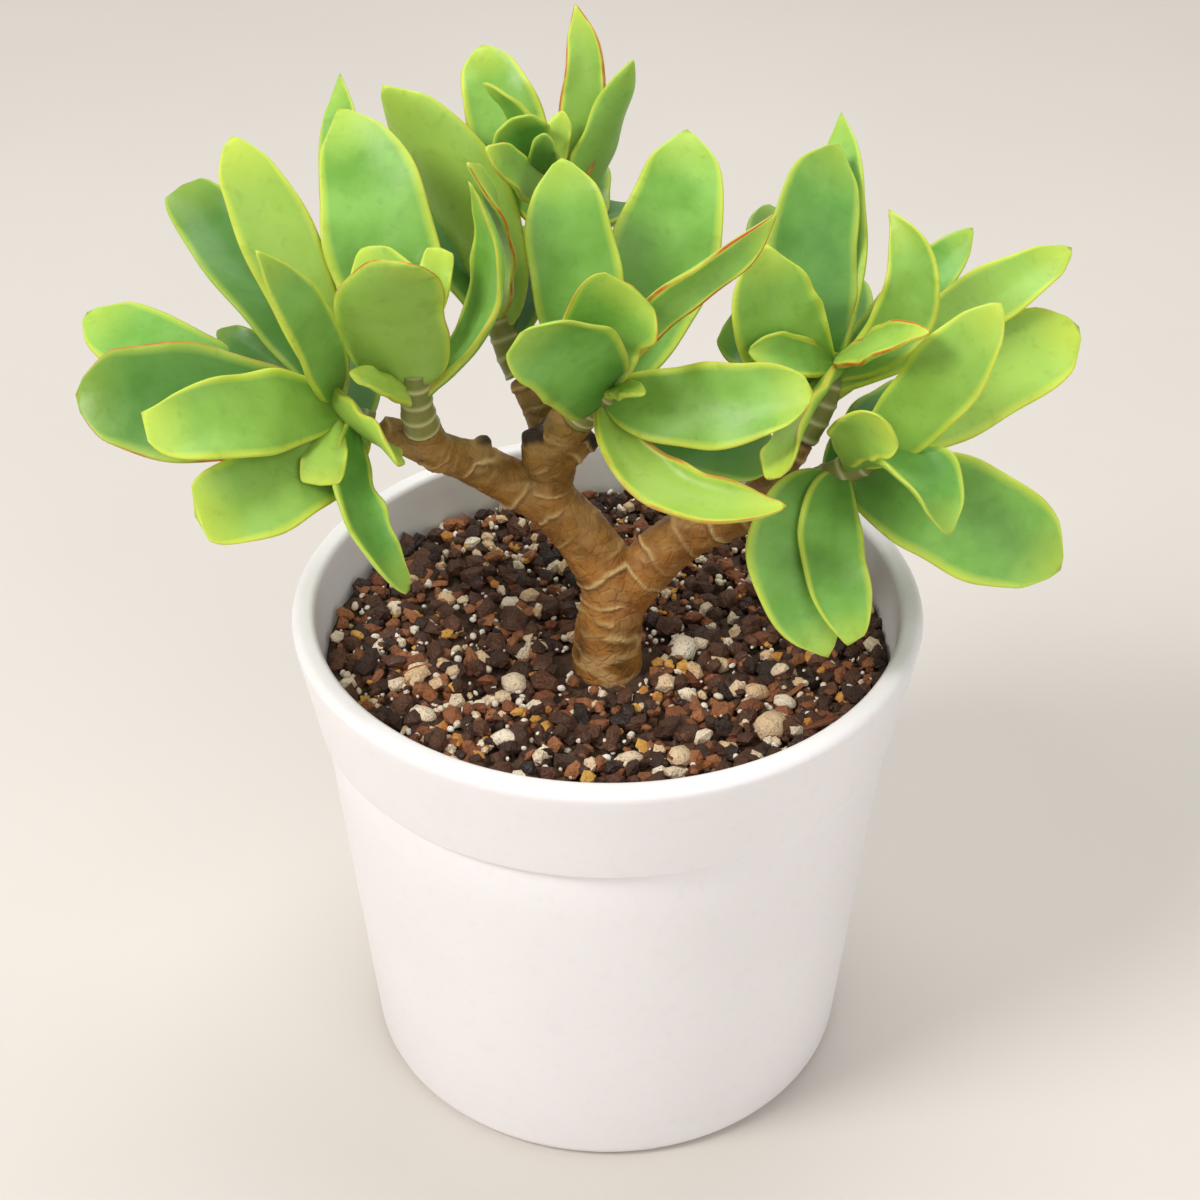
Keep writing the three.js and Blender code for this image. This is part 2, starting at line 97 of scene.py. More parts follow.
def curvePoints(corners, count):
    # a centripetal Catmull-Rom line through the corners, then evenly spaced points on it
    fine = []
    ends = [corners[0] * 2 - corners[1]] + corners + [corners[-1] * 2 - corners[-2]]
    for p0, p1, p2, p3 in zip(ends, ends[1:], ends[2:], ends[3:]):
        d1, d2, d3 = ((b - a).length ** 0.5 for a, b in ((p0, p1), (p1, p2), (p2, p3)))
        m1 = (p2 - p1) + d2 * ((p1 - p0) / d1 - (p2 - p0) / (d1 + d2))
        m2 = (p2 - p1) + d2 * ((p3 - p2) / d3 - (p3 - p1) / (d2 + d3))
        for k in range(40):
            t = k / 40
            a = 2 * t ** 3 - 3 * t ** 2 + 1
            b = t ** 3 - 2 * t ** 2 + t
            c = 3 * t ** 2 - 2 * t ** 3
            d = t ** 3 - t ** 2
            fine.append(p1 * a + m1 * b + p2 * c + m2 * d)
    fine.append(corners[-1])
    lengths = [0]
    for a, b in zip(fine, fine[1:]):
        lengths.append(lengths[-1] + (b - a).length)
    points = []
    k = 0
    for i in range(count):
        want = lengths[-1] * i / (count - 1)
        while k < len(fine) - 2 and lengths[k + 1] < want:
            k += 1
        span = max(lengths[k + 1] - lengths[k], 1e-9)
        points.append(fine[k].lerp(fine[k + 1], (want - lengths[k]) / span))
    return points, lengths[-1]


def framesAlong(points):
    frames = []
    side = None
    for i, point in enumerate(points):
        ahead = points[min(i + 1, len(points) - 1)]
        behind = points[max(i - 1, 0)]
        along = (ahead - behind).normalized()
        if side is None:
            side = along.cross(Vector((0.13, 1, 0.21))).normalized()
        side = (side - along * side.dot(along)).normalized()
        frames.append((point, along, side, along.cross(side)))
    return frames


# material building

def addNode(tree, kind, inputs=None, **settings):
    node = tree.nodes.new("ShaderNode" + kind)
    for name, value in settings.items():
        setattr(node, name, value)
    for socket, value in (inputs or {}).items():
        if isinstance(value, bpy.types.NodeSocket):
            tree.links.new(value, node.inputs[socket])
        else:
            node.inputs[socket].default_value = value
    return node


def mixColours(tree, share, low, high):
    # a plain colour is given as red, green and blue
    low, high = ((*value, 1.0) if isinstance(value, tuple) else value for value in (low, high))
    return addNode(tree, "Mix", {0: share, 6: low, 7: high}, data_type="RGBA").outputs[2]


def rangeOf(tree, value, low, high, toLow=0.0, toHigh=1.0):
    return addNode(tree, "MapRange", {0: value, 1: low, 2: high, 3: toLow, 4: toHigh}).outputs[0]


def maths(tree, operation, *values):
    return addNode(tree, "Math", dict(enumerate(values)), operation=operation).outputs[0]


def attributeOf(tree, name):
    return addNode(tree, "Attribute", attribute_name=name, attribute_type="GEOMETRY").outputs["Fac"]


def noiseOf(tree, place, scale, detail=3.0):
    inputs = {"Vector": place, "Scale": scale, "Detail": detail, "Roughness": 0.55}
    return addNode(tree, "TexNoise", inputs).outputs["Fac"]


def linkSurface(tree, shader, baseColour, roughness):
    tree.links.new(baseColour, shader.inputs["Base Color"])
    tree.links.new(roughness, shader.inputs["Roughness"])


def newMaterial(name, sockets):
    material = bpy.data.materials.new(name)
    material.use_nodes = True
    tree = material.node_tree
    shader = tree.nodes["Principled BSDF"]
    for socket, value in sockets.items():
        shader.inputs[socket].default_value = value
    place = addNode(tree, "TexCoord").outputs["Object"]
    return material, tree, shader, place


def bumpOn(tree, shader, height, distance, strength=1.0):
    inputs = {"Height": height, "Distance": distance, "Strength": strength}
    tree.links.new(addNode(tree, "Bump", inputs).outputs[0], shader.inputs["Normal"])


# mottling: soft patches, fine freckles and their height, shared by leaf, bark, grit and plastic
def makeMottling():
    group = bpy.data.node_groups.new("mottling", "ShaderNodeTree")
    face = group.interface
    face.new_socket("Place", in_out="INPUT", socket_type="NodeSocketVector")
    for name, value in (("Patch Scale", 120.0), ("Freckle Scale", 900.0), ("Freckle Amount", 0.3)):
        face.new_socket(name, in_out="INPUT", socket_type="NodeSocketFloat").default_value = value
    for name in ("Patches", "Freckles", "Height"):
        face.new_socket(name, in_out="OUTPUT", socket_type="NodeSocketFloat")
    source = group.nodes.new("NodeGroupInput").outputs
    sink = group.nodes.new("NodeGroupOutput").inputs
    patches = rangeOf(group, noiseOf(group, source["Place"], source["Patch Scale"], 4.0), 0.34, 0.66)
    fine = noiseOf(group, source["Place"], source["Freckle Scale"], 2.0)
    freckles = rangeOf(group, fine, 0.56, 0.72)
    amount = maths(group, "MULTIPLY", freckles, source["Freckle Amount"])
    group.links.new(patches, sink["Patches"])
    group.links.new(amount, sink["Freckles"])
    group.links.new(maths(group, "ADD", maths(group, "MULTIPLY", patches, 0.5), fine), sink["Height"])
    return group


mottling = makeMottling()


def mottle(tree, place, patchScale, freckleScale, amount):
    node = tree.nodes.new("ShaderNodeGroup")
    node.node_tree = mottling
    tree.links.new(place, node.inputs["Place"])
    node.inputs["Patch Scale"].default_value = patchScale
    node.inputs["Freckle Scale"].default_value = freckleScale
    node.inputs["Freckle Amount"].default_value = amount
    return node.outputs


potLook = {
    "plain": (0.87, 0.84, 0.845), "patch": (0.90, 0.87, 0.875), "dust": (0.6, 0.56, 0.5),
    "dustShare": 0.12, "patchScale": 26.0, "dustScale": 380.0, "roughness": (0.36, 0.46),
    "grainScale": 1500.0, "grainDepth": 0.00002,
    "sockets": {
        "IOR": 1.48, "Specular IOR Level": 0.5, "Subsurface Weight": 0.08, "Subsurface Scale": 0.002,
    },
}


def makePotPlastic():
    look = potLook
    material, tree, shader, place = newMaterial("potPlastic", look["sockets"])
    marks = mottle(tree, place, look["patchScale"], look["dustScale"], 0.5)
    body = mixColours(tree, marks["Patches"], look["plain"], look["patch"])
    dust = maths(tree, "MULTIPLY", marks["Freckles"], look["dustShare"])
    dusty = mixColours(tree, dust, body, look["dust"])
    linkSurface(tree, shader, dusty, rangeOf(tree, marks["Patches"], 0, 1, *look["roughness"]))
    bumpOn(tree, shader, noiseOf(tree, place, look["grainScale"], 2.0), look["grainDepth"])
    return material


# stones and chips: each grain carries its own tint between low and high
gritLooks = {
    "soilGrit": {
        "low": (0.05, 0.03, 0.02), "high": (0.1, 0.05, 0.03), "patch": (0.16, 0.09, 0.05),
        "roughness": 0.8, "bump": 0.0004, "scale": 500.0,
    },
    "chipDark": {
        "low": (0.010, 0.006, 0.005), "high": (0.14, 0.052, 0.024), "patch": (0.075, 0.034, 0.018),
        "roughness": 0.3, "bump": 0.0004, "scale": 420.0,
    },
    "chipRed": {
        "low": (0.16, 0.042, 0.016), "high": (0.42, 0.16, 0.06), "patch": (0.26, 0.1, 0.04),
        "roughness": 0.45, "bump": 0.0004, "scale": 420.0,
    },
    "perliteWhite": {
        "low": (0.78, 0.62, 0.44), "high": (0.95, 0.92, 0.85), "patch": (0.86, 0.76, 0.62),
        "roughness": 0.7, "bump": 0.0001, "scale": 900.0,
    },
    "pumiceCream": {
        "low": (0.74, 0.45, 0.22), "high": (0.95, 0.86, 0.7), "patch": (0.84, 0.66, 0.44),
        "roughness": 0.7, "bump": 0.0004, "scale": 520.0,
    },
    "amberGrain": {
        "low": (0.5, 0.17, 0.03), "high": (0.75, 0.42, 0.08), "patch": (0.55, 0.27, 0.07),
        "roughness": 0.5, "bump": 0.0002, "scale": 500.0,
    },
}
gritSpeck = (0.03, 0.02, 0.015)


def makeGrit(name, look):
    material, tree, shader, place = newMaterial(name, {"IOR": 1.45, "Specular IOR Level": 0.5})
    marks = mottle(tree, place, look["scale"], 4 * look["scale"], 1.0)
    body = mixColours(tree, attributeOf(tree, "tint"), look["low"], look["high"])
    patched = mixColours(tree, maths(tree, "MULTIPLY", marks["Patches"], 0.55), body, look["patch"])
    specked = mixColours(tree, maths(tree, "MULTIPLY", marks["Freckles"], 0.5), patched, gritSpeck)
    linkSurface(tree, shader, specked, rangeOf(tree, marks["Patches"], 0, 1, look["roughness"], 0.95))
    bumpOn(tree, shader, marks["Height"], look["bump"])
    return material


# bark tones: the ring tone is a painted highlight along the tops of the ring ridges, and the groove tone
# painted shade in the crease below each
barkLook = {
    "tan": (0.34, 0.13, 0.03), "shade": (0.15, 0.07, 0.018), "flake": (0.43, 0.19, 0.042),
    "young": (0.15, 0.15, 0.035), "youngShare": 0.75, "speck": (0.05, 0.028, 0.012),
    "base": (0.58, 0.36, 0.15), "baseShare": 0.8, "ring": (0.72, 0.51, 0.22),
    "shadedGroove": (0.11, 0.045, 0.015), "stub": (0.05, 0.03, 0.018), "roughness": (0.36, 0.62),
    "shadeScale": 70.0, "patchScale": 170.0, "speckScale": 800.0, "speckAmount": 0.35,
    "crackScale": 420.0, "crackWidth": 0.12, "bump": 0.00022,
    "sockets": {"IOR": 1.45, "Specular IOR Level": 0.22},
}


def makeBark():
    look = barkLook
    material, tree, shader, place = newMaterial("bark", look["sockets"])
    marks = mottle(tree, place, look["patchScale"], look["speckScale"], look["speckAmount"])
    wide = rangeOf(tree, noiseOf(tree, place, look["shadeScale"]), 0.4, 0.62)
    tan = mixColours(tree, wide, look["tan"], look["shade"])
    skin = mixColours(tree, marks["Patches"], tan, look["flake"])
    green = maths(tree, "MULTIPLY", attributeOf(tree, "young"), look["youngShare"])
    skin = mixColours(tree, green, skin, look["young"])
    skin = mixColours(tree, marks["Freckles"], skin, look["speck"])
    flakes = maths(tree, "MULTIPLY", attributeOf(tree, "base"), look["baseShare"])
    skin = mixColours(tree, flakes, skin, look["base"])
    # ring ridges get a painted highlight on their tops, and the crease just below each gets painted shade
    for mark in ("ring", "shadedGroove", "stub"):
        skin = mixColours(tree, attributeOf(tree, mark), skin, look[mark])
    linkSurface(tree, shader, skin, rangeOf(tree, marks["Patches"], 0, 1, *look["roughness"]))
    cells = {"Vector": place, "Scale": look["crackScale"]}
    fissures = addNode(tree, "TexVoronoi", cells, feature="DISTANCE_TO_EDGE")
    cracks = rangeOf(tree, fissures.outputs["Distance"], 0.0, look["crackWidth"])
    height = maths(tree, "ADD", maths(tree, "MULTIPLY", cracks, 0.5), marks["Height"])
    bumpOn(tree, shader, height, look["bump"])
    return material


# near the seat the green is darker, as painted shade, and fresh is the green further out, each between two
# tones
leafLook = {
    "seatShade": ((0.05, 0.17, 0.022), (0.11, 0.30, 0.045)),
    "fresh": ((0.14, 0.38, 0.055), (0.25, 0.54, 0.115)),
    "stem": ((0.19, 0.22, 0.05), (0.27, 0.25, 0.075)),
    # the dark body green is painted shade, for leaves that sit in shadow among the others
    "limeBody": (0.50, 0.66, 0.10), "shadedBody": (0.04, 0.125, 0.018), "margin": (0.62, 0.70, 0.075),
    "under": (0.30, 0.50, 0.10), "underShare": 0.45, "fleck": (0.06, 0.15, 0.025), "fleckShare": 0.3,
    "redLine": (0.50, 0.085, 0.022), "stemRing": (0.52, 0.50, 0.24), "roughness": (0.34, 0.46),
    "patchScale": 95.0, "fleckScale": 420.0, "fleckAmount": 0.5, "lineScale": 140.0,
    "veinScale": 260.0, "veinHeight": 0.6, "bump": 0.00009, "bumpStrength": 0.8,
    "glow": (0.55, 0.9, 0.16),
    "sockets": {
        "IOR": 1.42, "Specular IOR Level": 0.38, "Subsurface Scale": 0.0025, "Subsurface Weight": 0.25,
    },
}


def makeLeafSkin():
    look = leafLook
    material, tree, shader, place = newMaterial("leafSkin", look["sockets"])
    shader.inputs["Subsurface Radius"].default_value = look["glow"]
    marks = mottle(tree, place, look["patchScale"], look["fleckScale"], look["fleckAmount"])
    patches = marks["Patches"]
    limeAndLight = attributeOf(tree, "limeAndLight")
    edge = attributeOf(tree, "edge")
    along = attributeOf(tree, "along")
    # the darker green towards the seat is painted shade
    seatShade = mixColours(tree, patches, *look["seatShade"])
    fresh = mixColours(tree, patches, *look["fresh"])
    skin = mixColours(tree, rangeOf(tree, along, 0.05, 0.75, 0.15, 0.85), seatShade, fresh)
    skin = mixColours(tree, rangeOf(tree, limeAndLight, 0.3, 1.0, 0.0, 0.85), skin, look["limeBody"])
    # little lime darkens the whole leaf towards the dark body green: painted shade
    skin = mixColours(tree, rangeOf(tree, limeAndLight, 0.0, 0.3, 0.7, 0.0), skin, look["shadedBody"])
    # lime runs along the margin, partly the leaf's own yellow edge and partly a painted rim highlight, and
    # over the tip as a painted glow of light shining through
    rimAndHighlightShare = rangeOf(tree, limeAndLight, 0.0, 0.6, 0.45, 1.0)
    tipGlowShare = rangeOf(tree, limeAndLight, 0.0, 0.6, 0.2, 0.7)
    rim = maths(tree, "MULTIPLY", rangeOf(tree, edge, 0.80, 0.97), rimAndHighlightShare)
    tip = maths(tree, "MULTIPLY", rangeOf(tree, along, 0.78, 1.0), tipGlowShare)
    skin = mixColours(tree, maths(tree, "MAXIMUM", rim, tip), skin, look["margin"])
    under = maths(tree, "MULTIPLY", attributeOf(tree, "under"), look["underShare"])
    skin = mixColours(tree, under, skin, look["under"])
    flecks = maths(tree, "MULTIPLY", marks["Freckles"], look["fleckShare"])
    skin = mixColours(tree, flecks, skin, look["fleck"])
    # a thin red line on the very edge, broken here and there
    broken = rangeOf(tree, noiseOf(tree, place, look["lineScale"], 2.0), 0.36, 0.56, 0.25, 1.0)
    line = maths(tree, "MULTIPLY", rangeOf(tree, edge, 0.955, 0.992), attributeOf(tree, "red"))
    skin = mixColours(tree, maths(tree, "MULTIPLY", line, broken), skin, look["redLine"])
    # the stem below the leaves: olive with pale rings
    stem = mixColours(tree, patches, *look["stem"])
    ringed = mixColours(tree, attributeOf(tree, "ring"), stem, look["stemRing"])
    skin = mixColours(tree, attributeOf(tree, "stem"), skin, ringed)
    linkSurface(tree, shader, skin, rangeOf(tree, patches, 0, 1, *look["roughness"]))
    cells = {"Vector": place, "Scale": look["veinScale"]}
    veins = addNode(tree, "TexVoronoi", cells, feature="SMOOTH_F1").outputs["Distance"]
    height = maths(tree, "ADD", maths(tree, "MULTIPLY", veins, look["veinHeight"]), marks["Height"])
    bumpOn(tree, shader, height, look["bump"], look["bumpStrength"])
    return material


potPlastic = makePotPlastic()
grit = {name: makeGrit(name, look) for name, look in gritLooks.items()}
barkSkin = makeBark()
leafSkin = makeLeafSkin()
print("materials made")


# pot: one spun shell with a collar, a rounded rim and drain holes

pot = {
    "rimRadius": 60, "rimInnerRadius": 55.5, "height": 103.4, "collarBottom": 81.8, "collarRadius": 56.7,
    "shoulderRadius": 55.5, "baseRadius": 49.2, "baseRounding": 3, "wall": 2.4, "floor": 2.8,
    "drainRadius": 4, "drainCircle": 26, "drainCount": 6, "steps": 160, "sharpAngle": 40,
}


def innerRadiusAt(height):
    # the pot's inner wall runs straight from the floor to the collar's foot
    slope = (pot["shoulderRadius"] - pot["baseRadius"]) / pot["collarBottom"]
    return pot["baseRadius"] - pot["wall"] + slope * height


def potOutline():
    # from the middle of the underside out, up the outer wall, over the rim and down inside
    base = pot["baseRadius"]
    shoulder = pot["shoulderRadius"]
    rounding = pot["baseRounding"]
    collar = pot["collarBottom"]
    collarRadius = pot["collarRadius"]
    height = pot["height"]
    rim = pot["rimRadius"]
    inner = pot["rimInnerRadius"]
    outline = [(0, 0), (base - 12, 0)]
    outline += arcPoints((base + 0.1 - rounding, rounding), rounding, -90, 0, 7)
    for k in range(1, 7):
        outline.append((mix(base + 0.1, shoulder, k / 6), mix(rounding, collar - 0.5, k / 6)))
    outline += [(shoulder - 0.1, collar - 0.1), (shoulder + 0.05, collar)]
    outline += arcPoints((collarRadius - 0.35, collar + 0.4), 0.35, -90, 0, 4)
    for k in range(1, 5):
        outline.append((mix(collarRadius, rim - 0.15, k / 4), mix(collar + 0.7, height - 2.2, k / 4)))
    outline += arcPoints((rim - 1.95, height - 1.9), 1.9, 12, 90, 7)
    outline += arcPoints((inner + 1.4, height - 1.4), 1.4, 90, 176, 6)
    outline += [(inner - 0.35, height - 5), (inner - 0.6, height - 8)]
    outline += [(innerRadiusAt(level), level) for level in (collar, 40, 6)]
    outline += [(innerRadiusAt(pot["floor"]) - 2, pot["floor"]), (0, pot["floor"])]
    return outline


def makeDrainCutter():
    holes = bmesh.new()
    for k in range(pot["drainCount"]):
        angle = 2 * math.pi * k / pot["drainCount"]
        place = Vector((pot["drainCircle"] * math.cos(angle), pot["drainCircle"] * math.sin(angle), 1))
        bmesh.ops.create_cone(
            holes, cap_ends=True, segments=32, radius1=pot["drainRadius"], radius2=pot["drainRadius"],
            depth=12, matrix=Matrix.Translation(place),
        )
    bmesh.ops.scale(holes, vec=(mm, mm, mm), verts=holes.verts)
    mesh = bpy.data.meshes.new("drainCutter")
    holes.to_mesh(mesh)
    holes.free()
    cutter = bpy.data.objects.new("drainCutter", mesh)
    bpy.context.scene.collection.objects.link(cutter)
    return cutter


def makePot():
    shell = bmesh.new()
    spinProfile(shell, potOutline(), pot["steps"])
    piece = addPiece(shell, "white_pot", potPlastic, "pot")
    cutter = makeDrainCutter()
    cut = piece.modifiers.new("drain", "BOOLEAN")
    cut.operation = "DIFFERENCE"
    cut.solver = "EXACT"
    cut.object = cutter
    applyModifiers(piece)
    bpy.data.objects.remove(cutter)
    piece.data.shade_smooth()
    piece.data.set_sharp_from_angle(angle=math.radians(pot["sharpAngle"]))


def applyModifiers(piece):
    # the piece keeps its modifiers' result as its own mesh
    bpy.context.view_layer.update()
    graph = bpy.context.evaluated_depsgraph_get()
    mesh = bpy.data.meshes.new_from_object(piece.evaluated_get(graph), depsgraph=graph)
    old = piece.data
    piece.modifiers.clear()
    piece.data = mesh
    bpy.data.meshes.remove(old)
    mesh.name = piece.name


makePot()
print("pot made")


# soil: a spun bed in place of the imported one, then loose grains laid over its top

soil = {
    "top": 92, "bump": 0.7, "edge": 54.2, "seed": 4127, "reach": 52.6, "gap": 0.3,
    "trunk": (0, -7), "trunkClear": 7.4, "tilt": 0.6,
}
# loose grains: size is half a grain's width from the smallest to the largest
grains = {
    "dark_bark_chips": {
        "material": "chipDark", "count": 1500, "size": (0.9, 2.9), "flat": 0.75, "lift": 0,
    },
    "red_bark_chips": {
        "material": "chipRed", "count": 620, "size": (0.8, 2.4), "flat": 0.65, "lift": 0.15,
    },
    "perlite_grains": {
        "material": "perliteWhite", "count": 780, "size": (0.3, 0.85), "flat": 0.9, "lift": 0.5,
    },
    "pumice_stones": {
        "material": "pumiceCream", "count": 390, "size": (0.7, 2.2), "flat": 0.8, "lift": 0.35,
    },
    "bark_flakes": {
        "material": "chipRed", "count": 34, "size": (1.2, 2.4), "flat": 0.3, "lift": 0.7, "long": 2.3,
    },
    "amber_grains": {
        "material": "amberGrain", "count": 200, "size": (0.6, 1.7), "flat": 0.75, "lift": 0.35,
    },
}
# the large stones that stand out: x, y, half size
bigStones = [
    (-17.5, -15, 2.9), (-18.5, -31, 2.5), (-34, -25, 2.5), (13, -37, 2.7), (30, -28, 3.1),
    (14.5, -4, 2.9), (17.5, -2.5, 2.1), (-32, 13, 2.2), (-19, 11, 2.3), (33, -20, 1.9),
    (28, -17, 2.1), (-36, -9, 2.2), (4, -37, 2.1),
]


def soilBump(x, y):
    long = math.sin(0.31 * x + 0.9) * math.cos(0.27 * y - 0.4)
    short = math.sin(1.13 * x - 0.71 * y) * math.cos(0.83 * y + 0.52 * x)
    return soil["bump"] * (0.8 * long + 0.7 * short)


def makeSoilBed():
    bed = bmesh.new()
    collar = pot["collarBottom"]
    top = soil["top"]
    gap = soil["gap"]
    outline = [(0, 3.1), (innerRadiusAt(3) - 2.2, 3.1), (innerRadiusAt(6) - gap, 6.1)]
    outline += [(innerRadiusAt(collar) - gap, collar), (soil["edge"], top - 1.6)]
    outline += [(soil["edge"] * (1 - k / 30), top - (0.4 if k == 0 else 0)) for k in range(31)]
    spinProfile(bed, outline, 120)
    for vert in bed.verts:
        if vert.co.z > top - 0.6:
            vert.co.z += soilBump(vert.co.x, vert.co.y) - 0.9 + 0.5 * noise.noise(vert.co * 0.8)
    tint = bed.verts.layers.float.new("tint")
    for vert in bed.verts:
        vert[tint] = 0.5 + 0.5 * noise.noise(vert.co * 0.35)
    addPiece(bed, "soil_bed", grit["soilGrit"], "soil")


def grainPlaces(draw, count, gap):
    # spread over the round top, clear of the trunk
    places = []
    while len(places) < count:
        reach = soil["reach"] * math.sqrt(draw.random())
        angle = 2 * math.pi * draw.random()
        place = Vector((reach * math.cos(angle), reach * math.sin(angle)))
        if (place - Vector(soil["trunk"])).length > soil["trunkClear"] + gap:
            places.append(place)
    return places


def addGrain(bm, shape, draw, place, size, kind, tint, roughness, lift):
    # a copy of the shape, turned, stretched, roughened and set down on the bed
    grain = shape.copy()
    lean = soil["tilt"]
    turn = Euler([draw.uniform(0, 6.28) for _ in range(3)]).to_matrix().to_4x4()
    tilt = Euler((draw.uniform(-lean, lean), draw.uniform(-lean, lean), draw.uniform(0, 6.28)))
    wide = draw.uniform(0.85, 1.35) * kind.get("long", 1)
    stretch = Matrix.Diagonal((wide, draw.uniform(0.65, 1), kind["flat"] * draw.uniform(0.8, 1.2), 1))
    grain.transform(tilt.to_matrix().to_4x4() @ stretch @ turn @ Matrix.Scale(size, 4))
    for vert in grain.vertices:
        vert.co *= draw.uniform(1 - roughness, 1 + roughness)
    height = soil["top"] + soilBump(place.x, place.y) + lift
    grain.transform(Matrix.Translation((place.x, place.y, height)))
    grain.attributes["tint"].data.foreach_set("value", [tint] * len(grain.vertices))
    bm.from_mesh(grain)
    bpy.data.meshes.remove(grain)


def newGrit():
    bm = bmesh.new()
    bm.verts.layers.float.new("tint")
    return bm


def grainShape(facets=None):
    # a ball of facets, or a round one where none are given
    bm = newGrit()
    if facets:
        bmesh.ops.create_icosphere(bm, subdivisions=facets, radius=1)
    else:
        bmesh.ops.create_uvsphere(bm, u_segments=8, v_segments=6, radius=1)
    mesh = bpy.data.meshes.new("grainShape")
    bm.to_mesh(mesh)
    bm.free()
    return mesh


def makeGrains():
    draw = random.Random(soil["seed"])
    chip = grainShape(1)
    ball = grainShape()
    stone = grainShape(2)
    for name, kind in grains.items():
        bm = newGrit()
        isRound = name == "perlite_grains"
        shape = ball if isRound else chip
        roughness = 0.06 if isRound else 0.22
        for place in grainPlaces(draw, kind["count"], kind["size"][1]):
            size = mix(*kind["size"], draw.random() ** 1.6)
            lift = draw.uniform(-0.4, 0.6) * size + kind["lift"]
            addGrain(bm, shape, draw, place, size, kind, draw.random(), roughness, lift)
        addPiece(bm, name, grit[kind["material"]], smooth=isRound)
    bm = newGrit()
    for x, y, size in bigStones:
        addGrain(bm, stone, draw, Vector((x, y)), size, {"flat": 0.8}, draw.random(), 0.11, 0.35 * size)
    addPiece(bm, "large_stones", grit["pumiceCream"])


makeSoilBed()
makeGrains()
print("soil made")


# leaf maths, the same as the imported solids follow

leafShape = {
    "thick": 2.4, "stalkHalfWidth": 1.9, "bow": 0.05, "sway": 0, "hook": 0, "cup": 20, "wave": 0.5,
    "curl": 0, "limeAndLight": 0.35, "limeSpread": 0.06, "sides": 44, "rings": 40, "squareness": 0.8,
    "pull": 1.33, "keenness": 0.3, "scallop": 0.035, "ripple": 0.3, "midribDepth": 0.22,
    "midribWidth": 0.13, "roughness": 0.16,
}


def halfWidth(t, wide, form):
    widest, taper = form
    t = min(max(t, 0), 1)
    swell = taper * widest / (1 - widest)
    keen = 1 - leafShape["keenness"] * smoothStep(0.86, 1, t) if taper > 0.4 else 1
    blade = keen * (wide / 2) * (t / widest) ** swell * ((1 - t) / (1 - widest)) ** taper
    stalk = leafShape["stalkHalfWidth"] * (1 - t) ** 0.6 if t < 0.5 else 0
    return max(blade, min(stalk, wide / 2))


def halfThickness(t):
    closing = min(1, max(1 - t, 0) ** 0.35)
    return leafShape["thick"] / 2 * closing * (1 + 0.35 * math.exp(-t / 0.12))


def bladeSweep(wrap, curl):
    # how far out and up the blade runs from its midrib, at 25 even shares of its half width
    sweep = [(0, 0, 0)]
    for k in range(1, 25):
        share = k / 24
        angle = wrap * share + curl * share ** 4
        out, rise, _ = sweep[-1]
        sweep.append((out + math.cos(angle) / 24, rise + math.sin(angle) / 24, angle))
    return sweep


def sweepAt(sweep, share):
    place = min(share, 1) * (len(sweep) - 1)
    low = min(int(place), len(sweep) - 2)
    return [mix(a, b, place - low) for a, b in zip(sweep[low], sweep[low + 1])]


def midribOf(seat, leaf):
    tip = Vector(leaf["tip"])
    length = (tip - seat).length
    axis = (tip - seat).normalized()
    normal = Vector(leaf["face"])
    normal = (normal - axis * normal.dot(axis)).normalized()
    lateral = normal.cross(axis)
    bow = leaf.get("bow", leafShape["bow"]) * leafShape["pull"]
    sway = leaf.get("sway", leafShape["sway"]) * leafShape["pull"]
    hook = leaf.get("hook", leafShape["hook"])
    low = seat + length * (axis * 0.33 + normal * bow + lateral * sway)
    high = seat + length * (axis * 0.7 + normal * bow + lateral * (sway + hook))
    return (seat, low, high, tip), normal, length


def bezierAt(corners, t):
    a, b, c, d = corners
    u = 1 - t
    point = a * u ** 3 + b * (3 * u * u * t) + c * (3 * u * t * t) + d * t ** 3
    along = (b - a) * (3 * u * u) + (c - b) * (6 * u * t) + (d - c) * (3 * t * t)
    return point, along.normalized()


def signedPower(value, power):
    return math.copysign(abs(value) ** power, value)


def leafLayers(bm):
    names = ("edge", "along", "under", "limeAndLight", "red", "stem", "ring")
    return {name: bm.verts.layers.float.new(name) for name in names}


def sectionPoint(vert, power):
    # where a point of the ball lies: along the leaf, across the blade and through it
    x, y, z = vert.co
    t = math.acos(min(max(z, -1), 1)) / math.pi
    ring = math.hypot(x, y)
    if ring < 1e-5:
        return t, 0, 0, True
    return t, signedPower(x / ring, power), signedPower(-y / ring, power), False


